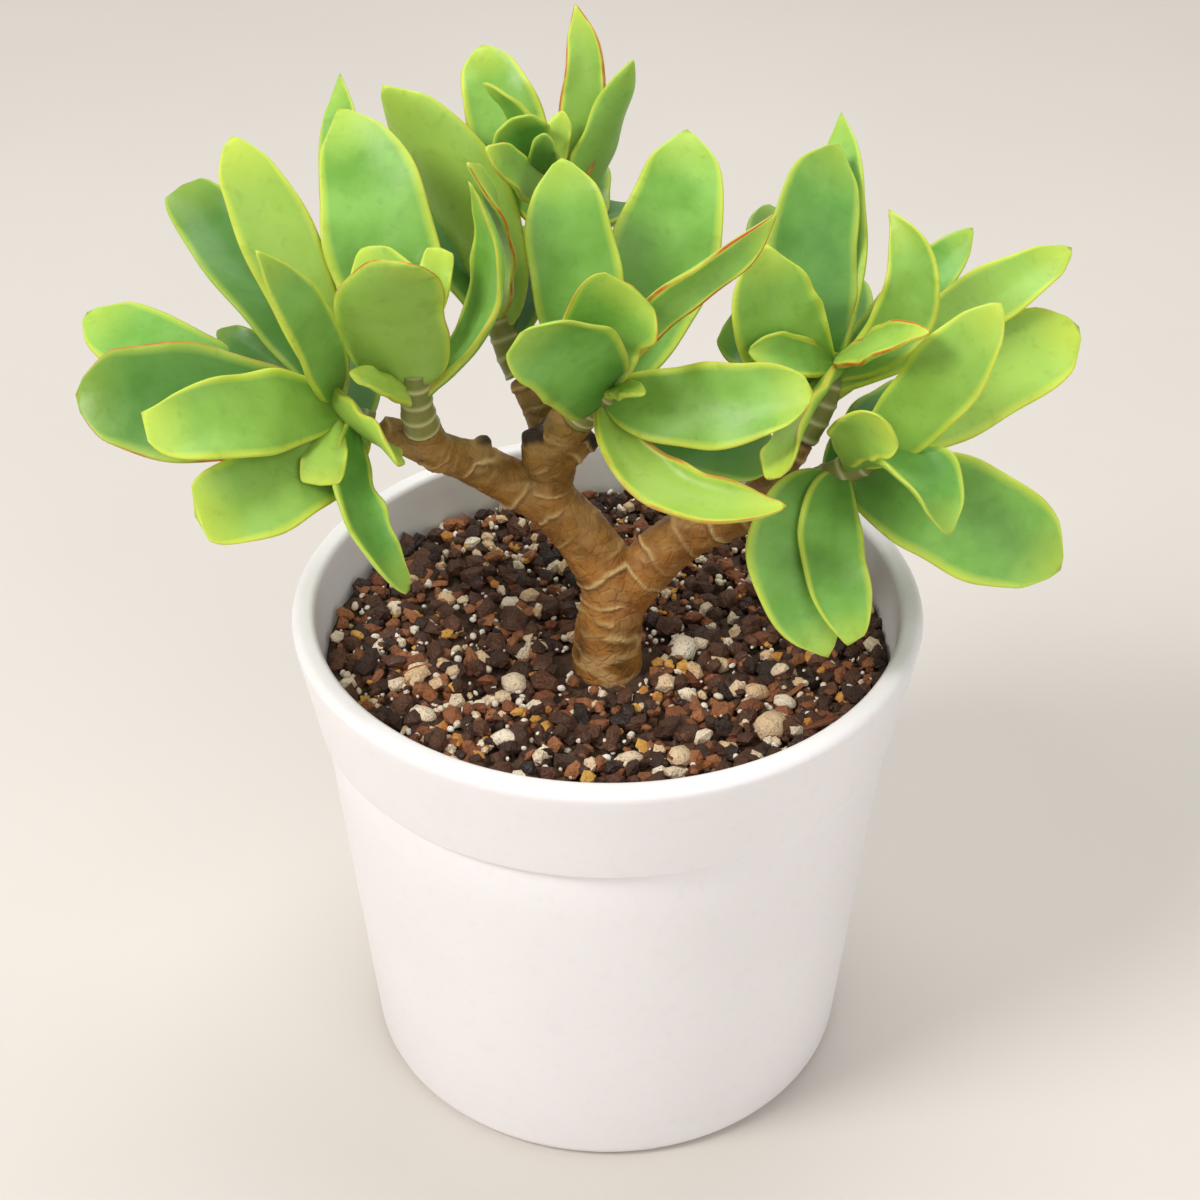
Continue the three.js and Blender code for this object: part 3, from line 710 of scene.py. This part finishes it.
def addLeaf(bm, layers, seat, leaf, draw):
    # a ball drawn out along the midrib, flattened to a blade with a rounded, waved margin
    corners, normal, length = midribOf(seat, leaf)
    wide = leaf["wide"]
    wrap = math.radians(leaf.get("cup", leafShape["cup"]))
    wave = leaf.get("wave", leafShape["wave"])
    curl = leaf.get("curl", leafShape["curl"])
    curls = [math.radians(value) for value in (curl if isinstance(curl, tuple) else (curl, curl))]
    sweeps = [bladeSweep(wrap, value) for value in curls]
    form = leaf.get("form", oval)
    forms = form if isinstance(form[0], tuple) else (form, form)
    phases = [draw.uniform(0, 6.28) for _ in range(4)]
    ripple = leafShape["ripple"] * draw.uniform(0.8, 1.25)
    spread = leafShape["limeSpread"]
    limeAndLight = min(max(leaf.get("limeAndLight", leafShape["limeAndLight"]) + draw.uniform(-spread, spread), 0), 1)
    shift = Vector((draw.uniform(0, 90), draw.uniform(0, 90), draw.uniform(0, 90)))
    made = bmesh.ops.create_uvsphere(
        bm, u_segments=leafShape["sides"], v_segments=leafShape["rings"], radius=1)
    for vert in made["verts"]:
        t, across, through, isPole = sectionPoint(vert, leafShape["squareness"])
        point, along = bezierAt(corners, t)
        up = (normal - along * normal.dot(along)).normalized()
        side = up.cross(along)
        which = 0 if across > 0 else 1
        sign = 1 if across > 0 else -1
        half = halfWidth(t, wide, forms[which])
        swing = math.sin(5.2 * math.pi * t + phases[which])
        half *= 1 + leafShape["scallop"] * swing * smoothStep(0.15, 0.4, t)
        depth = halfThickness(t)
        out, lift, angle = sweepAt(sweeps[which], abs(across))
        sideways = half * out * sign - math.sin(angle) * sign * through * depth
        rise = half * lift + math.cos(angle) * through * depth
        large = wave * across * across * math.sin(3 * math.pi * t + (1.7 if across > 0 else 0))
        small = ripple * across ** 4 * math.sin(7.3 * math.pi * t + phases[2] * sign + phases[3])
        rise += (large + small * smoothStep(0.1, 0.35, t)) * half / (wide / 2)
        if through > 0:
            channel = math.exp(-((across / leafShape["midribWidth"]) ** 2))
            rise -= leafShape["midribDepth"] * channel * smoothStep(0.0, 0.15, t) * (1 - t)
        if isPole:
            sideways = rise = 0
        rough = leafShape["roughness"] * noise.noise((point + side * sideways) * 0.22 + shift)
        vert.co = point + side * sideways + up * (rise + rough)
        # the margin counts as an edge at the tip too
        closeness = 1 - (1 - t) * length / max(wide * 0.5, 1)
        vert[layers["edge"]] = max(abs(across), 0 if t < 0.5 else closeness)
        vert[layers["along"]] = t
        vert[layers["under"]] = 0.5 - 0.5 * through
        vert[layers["limeAndLight"]] = limeAndLight
        vert[layers["red"]] = leaf["red"]


# limbs: each runs from the wood into a green shoot, and wood is its share of bark

limbs = {
    "leftFront": {
        "points": [
            [0, -7, 52], [0, -7, 80], [0, -6, 97], [1, -4, 107], [-3, -2, 115], [-9, 0, 122],
            [-16, 0, 127], [-24, -2, 133], [-32, -6, 139], [-39, -9, 144], [-46, -9, 147], [-52, -7, 151],
        ],
        "radii": [6.6, 6.8, 7.2, 7, 6.4, 5.8, 5.2, 4.5, 4, 3.4, 2.7, 2],
        "wood": 0.9,
    },
    "leftSmall": {
        "points": [[-30, -5, 136], [-32, -9, 143], [-33, -12, 150], [-33, -14, 159]],
        "radii": [3.4, 3.3, 2.9, 2.2],
        "wood": 0.45,
    },
    "leftBack": {
        "points": [[-9, 1, 131], [-13, 6, 141], [-18, 11, 149], [-21, 14, 158]],
        "radii": [3.4, 3, 2.6, 2],
        "wood": 0.55,
    },
    "top": {
        "points": [[-8, 1, 132], [-8, 8, 144], [-8, 14, 156], [-10, 19, 168], [-12, 22, 180]],
        "radii": [3.4, 3, 2.7, 2.4, 2],
        "wood": 0.55,
    },
    "centre": {
        "points": [[-4, -2, 116], [-11, 0, 126], [-10, 0, 133], [-8, -2, 140], [-4, -6, 147], [1, -12, 154]],
        "radii": [4.6, 5, 4.6, 4.2, 3.2, 2.2],
        "wood": 0.72,
    },
    "rightLow": {
        "points": [[0, -6, 98], [4, -4, 107], [14, -1, 117], [26, -3, 124], [36, -7, 131], [47, -9, 139]],
        "radii": [4.8, 5.2, 4.8, 4, 3.3, 2.2],
        "wood": 0.8,
    },
    "rightHigh": {
        "points": [[25, -2, 123], [33, 1, 133], [38, 2, 142], [42, 5, 152]],
        "radii": [3.2, 3, 2.7, 2],
        "wood": 0.5,
    },
}
stubs = [
    {"points": [[-11, 0, 130], [-13, -1, 135], [-14, -1, 140]], "radii": [4, 3, 1.6]},
    {"points": [[-9, -1, 133], [-5, -2, 137], [-2, -3, 139]], "radii": [3, 2.4, 1.6]},
    {"points": [[-24, -2, 132], [-23, -2, 136], [-22, -2, 139]], "radii": [3, 2.4, 1.3]},
]
bark = {
    "voxel": 0.42, "smoothings": 5, "roughness": 0.42, "seed": 77, "ringHeight": 0.34,
    "ringWidth": (0.28, 0.5), "ringStrength": (0.35, 1), "firstRing": (2, 5), "ringSpacing": (2.6, 7.5),
    "grooveDepth": 0.5, "grooveShift": 1.4, "grooveShadeStrength": 0.7,
}
# the green stems of the shoots, with evenly spaced leaf scars
greenStem = {"scarSpacing": 3.4, "scarWidth": 0.42, "scarHeight": 0.22, "gap": 0.3, "seed": 3301}


def curveOf(limb):
    return curvePoints([Vector(point) for point in limb["points"]], 240)


def pointAt(points, place):
    low = min(int(place), len(points) - 2)
    high = min(int(place) + 1, len(points) - 1)
    return points[low].lerp(points[high], place % 1)


def addLimb(bm, limb, start, end, sides, rings, layers=None):
    # a ball drawn out to a tube along the limb's line, closed at both ends
    points, length = curveOf(limb)
    frames = framesAlong(points)
    spacing = greenStem["scarSpacing"]
    made = bmesh.ops.create_uvsphere(bm, u_segments=sides, v_segments=rings, radius=1)
    for vert in made["verts"]:
        t, x, y, _ = sectionPoint(vert, 1)
        share = mix(start, end, t)
        radius = valueAlong(limb["radii"], share)
        place = share * (len(frames) - 1)
        _, _, side, up = frames[min(int(round(place)), len(frames) - 1)]
        if layers:
            scar = math.exp(-(((share * length) % spacing - spacing / 2) / greenStem["scarWidth"]) ** 2)
            radius += greenStem["scarHeight"] * scar
            vert[layers["stem"]] = 1
            vert[layers["ring"]] = scar
        vert.co = pointAt(points, place) + side * (-x * radius) + up * (-y * radius)


def makeTrunk():
    bm = bmesh.new()
    for limb in limbs.values():
        addLimb(bm, limb, 0, limb["wood"], 24, 60)
    for stub in stubs:
        addLimb(bm, stub, 0, 1, 16, 16)
    rough = bpy.data.meshes.new("trunkRough")
    bm.to_mesh(rough)
    bm.free()
    holder = bpy.data.objects.new("trunkRough", rough)
    bpy.context.scene.collection.objects.link(holder)
    skin = holder.modifiers.new("skin", "REMESH")
    skin.mode = "VOXEL"
    skin.voxel_size = bark["voxel"]
    skin.adaptivity = 0
    applyModifiers(holder)
    bm = bmesh.new()
    bm.from_mesh(holder.data)
    bpy.data.objects.remove(holder)
    for _ in range(bark["smoothings"]):
        bmesh.ops.smooth_vert(
            bm, verts=bm.verts, factor=0.5, use_axis_x=True, use_axis_y=True, use_axis_z=True,
        )
    bmesh.ops.recalc_face_normals(bm, faces=bm.faces)
    ringBark(bm)
    addPiece(bm, "woody_trunk", barkSkin, "trunk")


def ringBark(bm):
    # ring scars, knobs and roughness, placed by how far along a limb each point lies
    draw = random.Random(bark["seed"])
    samples = []
    for limb in list(limbs.values()) + stubs:
        points, length = curveOf(limb)
        last = limb.get("wood", 1) * length
        rings = []
        step = draw.uniform(*bark["firstRing"])
        while step < last - 1:
            rings.append((step, draw.uniform(*bark["ringWidth"]), draw.uniform(*bark["ringStrength"])))
            step += draw.uniform(*bark["ringSpacing"])
        frames = framesAlong(points)
        for k, (point, along, _, _) in enumerate(frames):
            place = k / (len(frames) - 1) * length
            if place <= last + 1:
                samples.append((point, place, along, rings, limb in stubs, last))
    finder = kdtree.KDTree(len(samples))
    for index, sample in enumerate(samples):
        finder.insert(sample[0], index)
    finder.balance()
    names = ("ring", "shadedGroove", "young", "base", "stub")
    layers = {name: bm.verts.layers.float.new(name) for name in names}
    moves = []
    for vert in bm.verts:
        _, index, _ = finder.find(vert.co)
        point, place, along, rings, isStub, last = samples[index]
        place += (vert.co - point).dot(along)
        place += 2.2 * noise.noise(vert.co * 0.12) + 0.35 * noise.noise(vert.co * 0.6)
        scar = shadedGroove = 0
        for middle, width, strength in rings:
            shifted = place - middle + bark["grooveShift"] * width
            scar = max(scar, strength * math.exp(-(((place - middle) / width) ** 2)))
            shadedGroove = max(shadedGroove, strength * math.exp(-((shifted / width) ** 2)))
        aboveSoil = smoothStep(soil["top"] - 1, soil["top"] + 3, vert.co.z)
        scar *= aboveSoil
        shadedGroove *= aboveSoil
        patchy = smoothStep(-0.35, 0.25, noise.noise(vert.co * 0.13 + Vector((9, 0, 0))))
        fine = noise.noise(vert.co * 0.55) + 0.5 * noise.noise(vert.co * 1.4)
        ridge = bark["ringHeight"] * patchy * (scar - bark["grooveDepth"] * shadedGroove)
        moves.append(ridge + bark["roughness"] * fine * 0.5)
        # the ridge mark lays a painted highlight, and the crease mark below it lays painted shade
        vert[layers["ring"]] = min(max(scar * patchy, 0), 1)
        vert[layers["shadedGroove"]] = bark["grooveShadeStrength"] * shadedGroove * patchy * (1 - scar)
        vert[layers["young"]] = smoothStep(108, 150, vert.co.z) * (0.6 + 0.4 * noise.noise(vert.co * 0.15))
        low = 1 - smoothStep(92, 104, vert.co.z)
        flake = noise.noise(Vector((vert.co.x * 0.17, vert.co.y * 0.17, vert.co.z * 0.42)))
        vert[layers["base"]] = mix(0.3, 1, low) * smoothStep(0.0, 0.16, flake)
        vert[layers["stub"]] = smoothStep(last - 2.2, last - 0.6, place) if isStub else 0
    for vert, move in zip(bm.verts, moves):
        vert.co += vert.normal * move


def makeShoots():
    # each shoot starts a small gap past the wood, with its leaves seated along it
    draw = random.Random(greenStem["seed"])
    for name, nodeName in shootNodes.items():
        limb = limbs[name]
        points, length = curveOf(limb)
        start = limb["wood"] + greenStem["gap"] / length
        bm = bmesh.new()
        layers = leafLayers(bm)
        addLimb(bm, limb, start, 1, 20, 60, layers)
        for leaf in leaves[name]:
            share = start + (0.97 - start) * (0.12 + 0.85 * leaf["at"])
            addLeaf(bm, layers, pointAt(points, share * (len(points) - 1)), leaf, draw)
        bmesh.ops.recalc_face_normals(bm, faces=bm.faces)
        addPiece(bm, "leafy_" + nodeName, leafSkin, nodeName)


shootNodes = {
    "leftFront": "shoot_left_front", "leftSmall": "shoot_left_small",
    "leftBack": "shoot_left_back", "top": "shoot_top", "centre": "shoot_centre",
    "rightLow": "shoot_right_low", "rightHigh": "shoot_right_high",
}

# outlines of a leaf: where it is widest along its length, and how bluntly its tip closes
oval = (0.55, 0.55)
spoon = (0.61, 0.47)
lance = (0.5, 0.78)
blunt = (0.6, 0.28)
fan = (0.78, 0.22)

# leaves of each shoot, from the outer ones to the bud: at is the seat's place along the stem, face the way
# the upper side looks, lime how yellow it is (a low lime paints shade over the leaf) and red how strong its
# red edge is
leaves = {
    "leftFront": [
        {
            "at": 0.3, "tip": [-95, 14, 155.5], "face": [0.1, -0.5, 0.9], "wide": 15, "sway": 0.07,
            "form": spoon, "limeAndLight": 0.35, "red": 0.2,
        },
        {
            "at": 0.2, "tip": [-92, -12, 153], "face": [0.1, -0.8, 0.6], "wide": 21, "form": spoon,
            "limeAndLight": 0.12, "red": 0.9,
        },
        {
            "at": 0.45, "tip": [-76, -32, 161], "face": [0.1, -0.7, 0.75], "wide": 17, "bow": 0.08,
            "sway": 0.04, "curl": (0, 20), "form": ((0.76, 0.32), (0.42, 0.95)), "limeAndLight": 0.5,
            "red": 0.1,
        },
        {
            "at": 0.1, "tip": [-68.5, -36, 143.5], "face": [0.1, -0.75, 0.65], "wide": 16,
            "sway": 0.075, "form": (0.66, 0.25), "limeAndLight": 0.55, "red": 0.2,
        },
        {
            "at": 0.35, "tip": [-34, -32, 126], "face": [0.8, -0.6, 0.2], "wide": 10.5, "sway": -0.2,
            "hook": -0.14, "cup": 30, "curl": (60, 0), "form": (0.6, 0.4), "limeAndLight": 0.35, "red": 0,
        },
        {
            "at": 0.5, "tip": [-77, 24, 176], "face": [0.4, -0.8, 0.3], "wide": 13.5,
            "form": ((0.7, 0.3), (0.66, 0.36)), "limeAndLight": 0, "red": 0,
        },
        {
            "at": 0.8, "tip": [-64, 8, 192], "face": [0.3, -0.9, 0.3], "wide": 13.5, "sway": -0.02,
            "form": ((0.66, 0.42), (0.5, 0.58)), "limeAndLight": 0.75, "red": 0.1,
        },
        {
            "at": 1, "tip": [-55, -30, 189], "face": [0.5, -0.8, 0.3], "wide": 9.5, "bow": 0.08,
            "sway": -0.03, "curl": (25, 0), "form": lance, "limeAndLight": 0.45, "red": 0.1,
        },
        {
            "at": 0.8, "tip": [-70, 6, 156], "face": [0.1, -0.7, 0.7], "wide": 8, "cup": 15, "limeAndLight": 0,
            "red": 0,
        },
        {
            "at": 1, "tip": [-35, -30, 150], "face": [0.9, -0.1, 0.4], "wide": 13, "cup": 15,
            "curl": (30, 0), "form": ((0.35, 0.6), (0.4, 0.6)), "limeAndLight": 1, "red": 0.2,
        },
        {
            "at": 0.8, "tip": [-48.5, -28, 144.5], "face": [0, -0.5, 0.85], "wide": 8, "cup": 10,
            "form": fan, "limeAndLight": 0.8, "red": 0.1,
        },
        {"at": 0.1, "tip": [-58, 30, 141], "face": [0, 0.4, 0.9], "wide": 16, "limeAndLight": 0.1, "red": 0},
    ],
    "leftSmall": [
        {
            "at": 0.55, "tip": [-47, 18, 193], "face": [0.1, -0.95, 0.2], "wide": 20, "sway": -0.03,
            "form": ((0.48, 0.8), (0.55, 0.64)), "limeAndLight": 0.4, "red": 0.2,
        },
        {
            "at": 0.4, "tip": [-48, 32, 194], "face": [-0.3, -0.95, 0.2], "wide": 12, "sway": 0.03,
            "form": lance, "limeAndLight": 0.3, "red": 0.1,
        },
        {
            "at": 0.75, "tip": [-30.8, -33, 188.2], "face": [0, 1, 0.1], "wide": 20, "bow": 0.08,
            "sway": -0.12, "cup": 25, "form": ((0.4, 0.42), (0.22, 0.75)), "limeAndLight": 0.75, "red": 1,
        },
        {
            "at": 0.95, "tip": [-42, -4, 176.8], "face": [0.3, -0.9, 0.3], "wide": 12.5, "bow": 0.08,
            "sway": -0.06, "limeAndLight": 0.6, "red": 0.4,
        },
        {
            "at": 0.95, "tip": [-28, -8, 179], "face": [0, -0.9, 0.3], "wide": 6, "form": fan,
            "limeAndLight": 0.9, "red": 0.1,
        },
        {
            "at": 0.6, "tip": [-23, -8, 191], "face": [-0.8, -0.5, 0.3], "wide": 10, "bow": -0.22,
            "sway": -0.05, "cup": 30, "curl": (30, 30), "form": lance, "limeAndLight": 0.35, "red": 0.3,
        },
        {
            "at": 0.45, "tip": [-43, -22, 163], "face": [0.1, -0.6, 0.8], "wide": 4.6, "cup": 10,
            "limeAndLight": 0.85, "red": 0.1,
        },
    ],
    "leftBack": [
        {
            "at": 0.6, "tip": [-40, 26, 194], "face": [0.2, 0.95, 0.1], "wide": 17, "sway": 0.08,
            "cup": 25, "curl": (20, 20), "form": ((0.45, 0.72), (0.6, 0.5)), "limeAndLight": 1, "red": 0.2,
        },
        {
            "at": 0.9, "tip": [-23, -10, 195], "face": [0.9, 0.1, 0.3], "wide": 11, "bow": 0.07,
            "cup": 25, "form": lance, "limeAndLight": 0.6, "red": 0.9,
        },
        {"at": 0.4, "tip": [-38, 42, 172], "face": [0.3, -0.2, 0.9], "wide": 17, "limeAndLight": 0.1, "red": 0},
        {"at": 0.3, "tip": [-16, 46, 158], "face": [0, -0.3, 0.9], "wide": 15, "limeAndLight": 0.1, "red": 0},
    ],
    "top": [
        {
            "at": 0.5, "tip": [-23, 40, 196.2], "face": [0.2, -0.9, 0.2], "wide": 14.5, "sway": 0.03,
            "curl": (15, 25), "limeAndLight": 0.45, "red": 0.2,
        },
        {
            "at": 0.8, "tip": [-22, 22, 196], "face": [-0.6, -0.7, 0.2], "wide": 5, "bow": -0.1,
            "sway": -0.1, "limeAndLight": 0.4, "red": 0.3,
        },
        {
            "at": 0.85, "tip": [-17, 16, 192], "face": [0.2, -0.9, 0.3], "wide": 12, "bow": -0.1,
            "cup": 50, "curl": (-45, -45), "form": blunt, "limeAndLight": 0.25, "red": 0.1,
        },
        {
            "at": 0.9, "tip": [-8, 22, 191], "face": [0, -0.9, 0.3], "wide": 5, "form": spoon,
            "limeAndLight": 0.9, "red": 0.1,
        },
        {"at": 1, "tip": [-11, 12, 191], "face": [0, -0.9, 0.3], "wide": 5.5, "limeAndLight": 0.05, "red": 0},
        {
            "at": 0.75, "tip": [-21, 8, 190], "face": [0.5, -0.7, 0.5], "wide": 7, "bow": 0.06,
            "limeAndLight": 0.6, "red": 0.4,
        },
        {
            "at": 0.6, "tip": [-6, 34, 206], "face": [0.2, -0.9, 0.2], "wide": 9, "sway": -0.08,
            "cup": 30, "curl": (0, 60), "form": lance, "limeAndLight": 0.65, "red": 0.9,
        },
        {
            "at": 0.4, "tip": [4.2, 22, 200.5], "face": [-0.5, 0.9, 0.2], "wide": 9, "sway": 0.06,
            "cup": 25, "form": lance, "limeAndLight": 0.5, "red": 0.2,
        },
        {"at": 0.2, "tip": [-6, 50, 170], "face": [0, -0.5, 0.8], "wide": 16, "limeAndLight": 0.1, "red": 0},
        {"at": 0.35, "tip": [10, 42, 164], "face": [-0.5, -0.3, 0.8], "wide": 14, "limeAndLight": 0.1, "red": 0},
    ],
    "centre": [
        {
            "at": 0.6, "tip": [-8, 6, 189], "face": [0, -0.95, 0.2], "wide": 16.2, "sway": 0.012,
            "cup": 15, "curl": (10, 15), "form": (0.54, 0.55), "limeAndLight": 0.4, "red": 0.1,
        },
        {
            "at": 0.5, "tip": [14, 26, 186], "face": [-0.1, -0.95, 0.2], "wide": 19.5, "sway": -0.06,
            "form": ((0.5, 0.6), (0.5, 0.64)), "limeAndLight": 0.4, "red": 0.1,
        },
        {
            "at": 0.85, "tip": [4, -18, 177], "face": [0, -0.9, 0.3], "wide": 17, "sway": 0.12,
            "curl": (35, 35), "wave": 2, "form": (0.72, 0.24), "limeAndLight": 0.45, "red": 0.6,
        },
        {
            "at": 0.8, "tip": [-14, -33, 176.2], "face": [0.1, -0.95, 0.2], "wide": 17.5,
            "sway": -0.07, "cup": 15, "curl": (0, 35), "form": ((0.42, 0.25), (0.62, 0.5)),
            "limeAndLight": 0.3, "red": 0.2,
        },
        {
            "at": 0.95, "tip": [27, -18, 190], "face": [0.5, -0.5, 0.6], "wide": 8, "bow": 0,
            "sway": 0.16, "hook": -0.25, "cup": 30, "curl": (30, 30), "form": lance, "limeAndLight": 0.5,
            "red": 1,
        },
        {
            "at": 1, "tip": [6, -24, 160], "face": [0, -0.5, 0.8], "wide": 4, "cup": 10, "limeAndLight": 0.8,
            "red": 0.1,
        },
        {
            "at": 0.9, "tip": [34, -25, 161], "face": [0, -0.8, 0.6], "wide": 15, "bow": 0.03,
            "sway": -0.06, "curl": (25, 0), "wave": 1, "form": ((0.55, 0.4), (0.5, 0.5)), "limeAndLight": 0.45,
            "red": 0.2,
        },
        {
            "at": 0.7, "tip": [30, -33, 144], "face": [0, -0.3, 0.9], "wide": 12, "bow": -0.06,
            "sway": -0.2, "cup": 35, "curl": (75, 10), "limeAndLight": 0.75, "red": 0.7,
        },
        {
            "at": 0.4, "tip": [31, -9, 138], "face": [0, -0.8, 0.6], "wide": 14, "bow": 0,
            "limeAndLight": 0.05, "red": 0,
        },
    ],
    "rightLow": [
        {
            "at": 0.8, "tip": [47, -27, 156], "face": [-0.2, -0.9, 0.4], "wide": 11, "sway": 0.12,
            "cup": 25, "curl": (30, 30), "form": fan, "limeAndLight": 0.65, "red": 0.2,
        },
        {
            "at": 0.7, "tip": [58, -30, 136], "face": [0.4, -0.4, 0.8], "wide": 14.5, "bow": 0.3,
            "cup": 25, "curl": (30, 30), "limeAndLight": 0.3, "red": 0.1,
        },
        {
            "at": 0.45, "tip": [81, -18, 121], "face": [-0.1, -0.8, 0.6], "wide": 21, "sway": 0.04,
            "cup": 15, "curl": (15, 0), "limeAndLight": 0.42, "red": 0.1,
        },
        {
            "at": 0.5, "tip": [86, 14, 153], "face": [-0.2, -0.8, 0.6], "wide": 18, "sway": 0.02,
            "cup": 15, "form": spoon, "limeAndLight": 0.7, "red": 0.1,
        },
        {
            "at": 0.9, "tip": [65, -16, 173], "face": [-0.3, -0.8, 0.5], "wide": 13.5, "sway": -0.04,
            "cup": 15, "limeAndLight": 0.55, "red": 0.1,
        },
        {
            "at": 0.6, "tip": [42, -33, 115], "face": [-0.1, -0.7, 0.7], "wide": 13, "sway": -0.08,
            "curl": (0, 55), "form": ((0.66, 0.35), (0.35, 0.9)), "limeAndLight": 0.4, "red": 0.1,
        },
        {
            "at": 0.35, "tip": [39, -31, 111], "face": [0.1, -0.8, 0.5], "wide": 19, "sway": -0.2,
            "form": ((0.55, 0.55), (0.4, 0.8)), "limeAndLight": 0.35, "red": 0.1,
        },
        {"at": 0.2, "tip": [66, 26, 134], "face": [0, 0, 1], "wide": 16, "limeAndLight": 0.1, "red": 0},
    ],
    "rightHigh": [
        {
            "at": 0.9, "tip": [29, -29, 147], "face": [-0.75, -0.5, 0.45], "wide": 11,
            "curl": (40, 40), "form": blunt, "limeAndLight": 0.85, "red": 0.4,
        },
        {
            "at": 0.6, "tip": [85, 24, 164], "face": [-0.2, -0.7, 0.7], "wide": 11.2, "bow": 0.08,
            "sway": -0.03, "limeAndLight": 0.6, "red": 0.1,
        },
        {
            "at": 0.8, "tip": [49, 12, 177], "face": [-0.3, -0.8, 0.5], "wide": 11.5, "sway": -0.26,
            "hook": -0.1, "curl": (50, 25), "form": lance, "limeAndLight": 0.5, "red": 0.2,
        },
        {
            "at": 0.4, "tip": [68, 32, 164.2], "face": [-0.2, -0.8, 0.5], "wide": 10,
            "form": (0.5, 0.62), "limeAndLight": 0.4, "red": 0.1,
        },
        {
            "at": 0.6, "tip": [41, 24, 184], "face": [0.2, -0.9, 0.2], "wide": 17.6, "sway": 0.12,
            "form": ((0.56, 0.6), (0.5, 0.55)), "limeAndLight": 0.2, "red": 0.1,
        },
        {
            "at": 0.4, "tip": [42.2, 34, 186], "face": [-0.4, -0.9, 0.2], "wide": 11, "sway": -0.04,
            "form": lance, "limeAndLight": 0.3, "red": 0,
        },
        {
            "at": 0.85, "tip": [27, 0, 176], "face": [0.3, -0.9, 0.3], "wide": 18.3, "sway": 0.19,
            "form": ((0.5, 0.62), (0.55, 0.6)), "limeAndLight": 0.5, "red": 0.1,
        },
        {
            "at": 0.5, "tip": [30, 34, 168], "face": [0.3, -0.9, 0.2], "wide": 13, "sway": 0.08,
            "limeAndLight": 0.1, "red": 0,
        },
        {
            "at": 0.35, "tip": [21, 14, 153], "face": [0.1, -0.8, 0.6], "wide": 12, "sway": -0.05,
            "form": blunt, "limeAndLight": 0.05, "red": 0,
        },
        {
            "at": 0.95, "tip": [24, -10, 160.5], "face": [0.2, -0.7, 0.7], "wide": 9, "cup": 40,
            "curl": (0, 85), "form": spoon, "limeAndLight": 0.5, "red": 0.3,
        },
        {
            "at": 1, "tip": [53, -20, 169.5], "face": [-0.3, -0.4, 0.9], "wide": 8.5, "sway": -0.05,
            "cup": 25, "curl": (70, 0), "limeAndLight": 0.7, "red": 0.9,
        },
        {"at": 0.2, "tip": [46, 46, 148], "face": [0, 0, 1], "wide": 15, "limeAndLight": 0.1, "red": 0},
    ],
}

makeTrunk()
print("trunk made")
makeShoots()
print("shoots made")


# floor, lights and camera

stage = {
    "floorHalf": 2.5, "floorTones": ((0.64, 0.60, 0.555), (0.67, 0.63, 0.585)),
    "roomTone": (1, 0.99, 0.97, 1), "roomStrength": 0.45, "aim": (0, 0, 0.1),
    "lights": {
        "windowSide": {"place": (-0.9, -0.5, 1.1), "size": 0.5, "power": 13, "tone": (1, 0.98, 0.95)},
        "fillSide": {"place": (0.6, -0.95, 0.8), "size": 1.0, "power": 4.4, "tone": (1, 0.99, 0.98)},
        "overhead": {"place": (0.1, 0.4, 1.3), "size": 0.8, "power": 8, "tone": (1, 1, 1)},
    },
}
view = {"lens": 63, "sensor": 36, "place": (0, -0.3291, 0.3318), "tilt": 55.03, "turn": 0.25}


def addLight(name, light):
    lamp = bpy.data.lights.new(name, "AREA")
    lamp.shape = "DISK"
    lamp.size = light["size"]
    lamp.energy = light["power"]
    lamp.color = light["tone"]
    holder = bpy.data.objects.new(name, lamp)
    holder.location = light["place"]
    aim = Vector(stage["aim"]) - Vector(light["place"])
    holder.rotation_euler = aim.to_track_quat("-Z", "Y").to_euler()
    bpy.context.scene.collection.objects.link(holder)


def makeFloor():
    bm = bmesh.new()
    bmesh.ops.create_grid(bm, x_segments=8, y_segments=8, size=stage["floorHalf"])
    mesh = bpy.data.meshes.new("paleFloor")
    bm.to_mesh(mesh)
    bm.free()
    material, tree, shader, place = newMaterial("paleFloor", {"Specular IOR Level": 0.2})
    marks = mottle(tree, place, 3.0, 60.0, 0.1)
    tone = mixColours(tree, marks["Patches"], *stage["floorTones"])
    linkSurface(tree, shader, tone, rangeOf(tree, marks["Patches"], 0, 1, 0.7, 0.8))
    mesh.materials.append(material)
    floor = bpy.data.objects.new("paleFloor", mesh)
    bpy.context.scene.collection.objects.link(floor)


def makeStage():
    makeFloor()
    world = bpy.data.worlds.new("softRoom")
    world.use_nodes = True
    room = world.node_tree.nodes["Background"].inputs
    room["Color"].default_value = stage["roomTone"]
    room["Strength"].default_value = stage["roomStrength"]
    bpy.context.scene.world = world
    bpy.context.scene.view_settings.view_transform = "Standard"
    for name, light in stage["lights"].items():
        addLight(name, light)


def makeCamera():
    lens = bpy.data.cameras.new("photoView")
    lens.lens = view["lens"]
    lens.sensor_width = view["sensor"]
    camera = bpy.data.objects.new("photoView", lens)
    camera.location = view["place"]
    camera.rotation_euler = (math.radians(view["tilt"]), 0, math.radians(view["turn"]))
    bpy.context.scene.collection.objects.link(camera)
    bpy.context.scene.camera = camera


makeStage()
makeCamera()
print("stage made")
